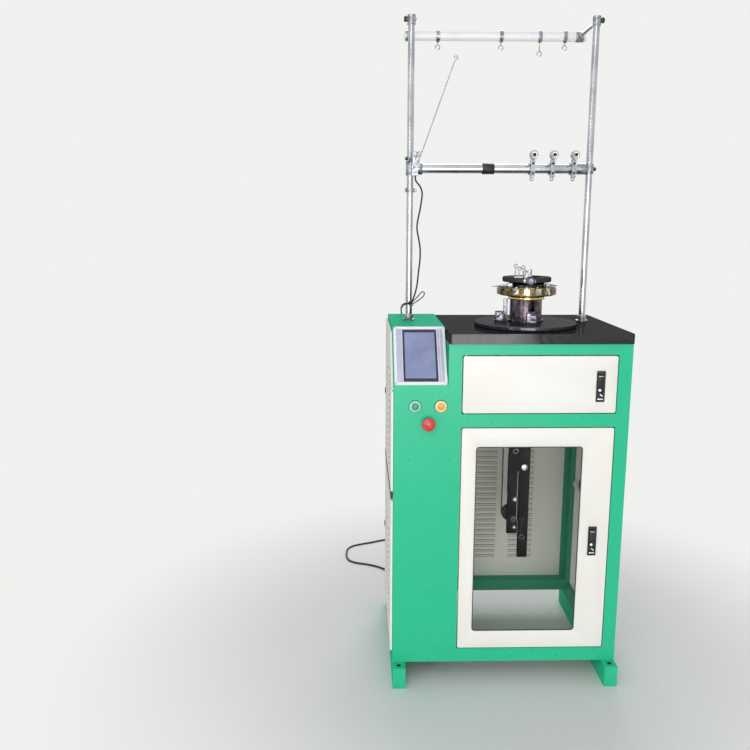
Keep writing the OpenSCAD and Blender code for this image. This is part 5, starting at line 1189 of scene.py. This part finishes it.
# %% Tensioner details
TENSIONERS_X = (422.0, 482.0, 545.0)
TENSION_Y, TENSION_Z = 262.5, MID_BAR_Z + 38
CLAMP_SCREW_Z = (MID_BAR_Z + 14, MID_BAR_Z - 14)
disc = [(2.6, 0), (9, 0.2), (12.2, -0.9), (13.2, -2.0), (13.4, -1.7), (12.4, -0.4), (9, 0.9),
        (2.6, 0.8), (2.6, 0)]
knurled_nut = [(0, 0), (5, 0), (5.4, 0.6), (5.4, 4.4), (4.6, 5), (0, 5.2)]
pin = [(0, 0), (2.2, 0), (2.2, 14), (1.8, 14.4), (0, 14.4)]
polished, springs, nuts = [], [], []
for x in TENSIONERS_X:
    polished.append(turned(disc, (x, TENSION_Y - 3.4, TENSION_Z), OUT_FRONT, 40))
    polished.append(turned(disc, (x, TENSION_Y - 6.2, TENSION_Z), OUT_BACK, 40))
    springs.append(coil_spring((x, TENSION_Y - 8, TENSION_Z), OUT_FRONT, 9, 3.6, 0.5, 6))
    nuts.append(lobed(knurled_nut, (x, TENSION_Y - 17, TENSION_Z), OUT_FRONT, 16, 0.04))
    nuts.append(turned(pin, (x, TENSION_Y - 8, TENSION_Z), OUT_FRONT, 16))
    for z in CLAMP_SCREW_Z:
        nuts += cap_screw((x, TENSION_Y, z), OUT_FRONT, 3.6, 2.5)
piece("tensioner_discs", polished, POLISHED_TRIM)
piece("tensioner_springs", springs, ZINC_STEEL)
piece("tensioner_nuts", nuts, GUNMETAL)

# %% [markdown]
# The knitting head is small and crowded. Socket screws hold the bed plate and the carrier ring,
# and they stand on circles about the head's axis.

# %% Screws of the knitting head
HEAD_X, HEAD_Y = 399.0, 184.0
BED_TOP, CAM_TOP, CARRIER_TOP = 1064.0, 1168.0, 1195.0


def screw_circle(radius, angles, z, r, h):
    """Socket heads at those angles in degrees on a circle about the knitting head's axis."""
    heads = []
    for a in np.radians(angles):
        heads += cap_screw((HEAD_X + radius * math.cos(a), HEAD_Y + radius * math.sin(a), z),
                           OUT_TOP, r, h)
    return heads


piece("bed_screws", screw_circle(132, range(30, 360, 60), BED_TOP - 6, 4.6, 5), ZINC_STEEL)
piece("carrier_screws", screw_circle(56.5, (20, 65, 110, 155, 200, 340), CARRIER_TOP - 5, 3.2, 4.2),
      CHROME_TRIM)

# %% [markdown]
# Two small turned parts catch the eye on the head: the polished centre of the guide knob, and a
# brass edge that shows as a bright line below the cam ring. Small screws on one more circle hold
# the housing's flange.

# %% Knob centre, brass edge and flange screws
KNOB_AT = (394.0, 103.2, 1187.0)
knob_face = [(0, 1.4), (3.4, 1.4), (4, 0.9), (6.4, 0.9), (7, 0.3), (7, -0.3), (0, -0.3)]
piece("guide_knob_centre", [turned(knob_face, KNOB_AT, OUT_FRONT, 32)], LILAC_ZINC, "guide_knob")
brass_edge = [(52.1, -8), (53.4, -7.6), (53.8, -6.6), (53.8, -1.2), (53.2, -0.2), (52.1, 0)]
brass_at = (HEAD_X, HEAD_Y, CAM_TOP - 30)
piece("housing_brass_edge", [turned(brass_edge, brass_at, OUT_TOP, 72)], BRASS)
piece("housing_screws", screw_circle(49.4, range(-60, 300, 45), BED_TOP + 5, 2.0, 1.8), ZINC_STEEL)

# %% [markdown]
# Behind the window hang the two take-down bars. Bright bolts hold them, the rollers' shafts show
# their dark ends, and a thin polished line along one edge is a painted highlight of its lit edge.

# %% Take-down bolts
BAR_FACE = 168.0
big_bolt = [(0, 5.5), (5, 5.5), (6, 5.1), (9, 4.2), (9.3, 3.4), (9.3, 0), (0, 0)]
big_bolt_at = (410.6, BAR_FACE, 613.6)
piece("bar_bolt", [turned(big_bolt, big_bolt_at, OUT_FRONT, 32)], POLISHED_TRIM)
bar_screws = []
for x, z, head_r in ((384.7, 511, 4.8), (385, 420, 4.2)):
    bar_screws += cap_screw((x, BAR_FACE, z), OUT_FRONT, head_r, 4)
piece("bar_screws", bar_screws, POLISHED_TRIM)
COLLAR_PLACES = [(410, 387.5), (384.7, 511), (382, 446), (381.7, 665.7)]
collar = [(5.4, 0), (9.5, 0), (9.5, 1.6), (8.6, 2.4), (5.4, 2.4)]
piece("bar_shaft_collars", [turned(collar, (x, BAR_FACE, z), OUT_FRONT, 32)
                            for x, z in COLLAR_PLACES], NEEDLE_STEEL)
# Painted highlight: a thin polished line along the bar's lit edge.
lit_edge_highlight = smooth_path([(391.6, BAR_FACE - 0.2, z) for z in (600, 540, 480, 445)], 4)
piece("bar_edge_highlight", [swept(lit_edge_highlight, 0.7, 8)], POLISHED_TRIM)
print("new pieces", len(made))

# %% [markdown]
# The machine stands on a plain pale floor that fades into the background. The fade is a mix
# towards plain light for what the camera sees straight, so that the floor near the object keeps
# its shadow and still lights the object from below as a real floor does.

# %% Floor
PALE = "#F1F1EF"


def pale_floor():
    """A pale floor that keeps the object's shadow and fades into the plain background."""
    material = bpy.data.materials.new("pale floor")
    material.use_nodes = True
    tree = material.node_tree
    shader = tree.nodes["Principled BSDF"]
    shader.inputs["Base Color"].default_value = linear("#E4E4E2")
    shader.inputs["Roughness"].default_value = 0.9
    plain = add(tree, "ShaderNodeEmission", values={"Color": linear(PALE), "Strength": 1.0})
    where = add(tree, "ShaderNodeTexCoord").outputs["Object"]
    reach = add(tree, "ShaderNodeVectorMath", props={"operation": "LENGTH"},
                links={0: where}).outputs["Value"]
    away = add(tree, "ShaderNodeMapRange", props={"interpolation_type": "SMOOTHSTEP"},
               values={"From Min": 0.45, "From Max": 1.5}, links={"Value": reach})
    rays = add(tree, "ShaderNodeLightPath")
    seen = add(tree, "ShaderNodeMath", props={"operation": "MULTIPLY"},
               links={0: away.outputs["Result"], 1: rays.outputs["Is Camera Ray"]})
    mixed = add(tree, "ShaderNodeMixShader", links={
        "Fac": seen.outputs["Value"], 1: shader.outputs["BSDF"], 2: plain.outputs["Emission"]})
    tree.links.new(mixed.outputs["Shader"], tree.nodes["Material Output"].inputs["Surface"])
    return material


floor_mesh = bpy.data.meshes.new("floor")
floor_mesh.from_pydata([(-9, -7, 0), (9, -7, 0), (9, 12, 0), (-9, 12, 0)], [], [(0, 1, 2, 3)])
floor_mesh.materials.append(pale_floor())
floor = bpy.data.objects.new("floor", floor_mesh)
bpy.context.scene.collection.objects.link(floor)
print("floor laid")

# %% [markdown]
# Plain soft light. One large lamp stands high in front at the left, and a larger one low in
# front fills the shadows. A third behind keeps the back from going black, and a tall narrow one
# at the left draws the long highlights on posts and housing.

# %% Lamps
def lamp(name, place, aim, size, tall, watts):
    """An area lamp of a width and a height in frame metres, aimed at a point."""
    data = bpy.data.lights.new(name, "AREA")
    data.shape = "RECTANGLE"
    data.size = size
    data.size_y = tall
    data.energy = watts
    obj = bpy.data.objects.new(name, data)
    obj.location = place
    obj.rotation_euler = (Vector(aim) - Vector(place)).to_track_quat("-Z", "Y").to_euler()
    bpy.context.scene.collection.objects.link(obj)
    print(name, watts, "W")


lamp("key lamp", (-1.2, -3.5, 3.6), (0, 0, 0.9), 2.2, 2.2, 33)
lamp("fill lamp", (-0.3, -4.2, 0.5), (0, 0, 0.5), 2.4, 2.4, 70)
lamp("back lamp", (0.4, 3.0, 3.4), (0, 0, 1.0), 2.0, 2.0, 45)
lamp("strip lamp", (-2.0, -2.3, 1.4), (0, 0, 1.2), 0.16, 2.0, 8)

# %% [markdown]
# The world gives a dim cool light from all sides. Rays that come straight from the camera, or
# from it by way of metal or glass, see the plain pale background instead, so that chrome and
# pane show it while the light on the object stays plain.

# %% World
WORLD_STRENGTH = 0.65
world = bpy.data.worlds.new("studio")
world.use_nodes = True
bpy.context.scene.world = world
tree = world.node_tree
background = tree.nodes["Background"]
background.inputs["Color"].default_value = linear("#DADDE2")
background.inputs["Strength"].default_value = WORLD_STRENGTH
plain = add(tree, "ShaderNodeBackground", values={"Color": linear(PALE), "Strength": 1.0})
rays = add(tree, "ShaderNodeLightPath")
straight = add(tree, "ShaderNodeMath", props={"operation": "MAXIMUM"},
               links={0: rays.outputs["Is Camera Ray"], 1: rays.outputs["Is Transmission Ray"]})
seen = add(tree, "ShaderNodeMath", props={"operation": "MAXIMUM"},
           links={0: straight.outputs["Value"], 1: rays.outputs["Is Glossy Ray"]})
mixed = add(tree, "ShaderNodeMixShader", links={
    "Fac": seen.outputs["Value"], 1: background.outputs["Background"],
    2: plain.outputs["Background"]})
tree.links.new(mixed.outputs["Shader"], tree.nodes["World Output"].inputs["Surface"])
print("world light", WORLD_STRENGTH)

# %% Pieces made
print("pieces made", len(made))
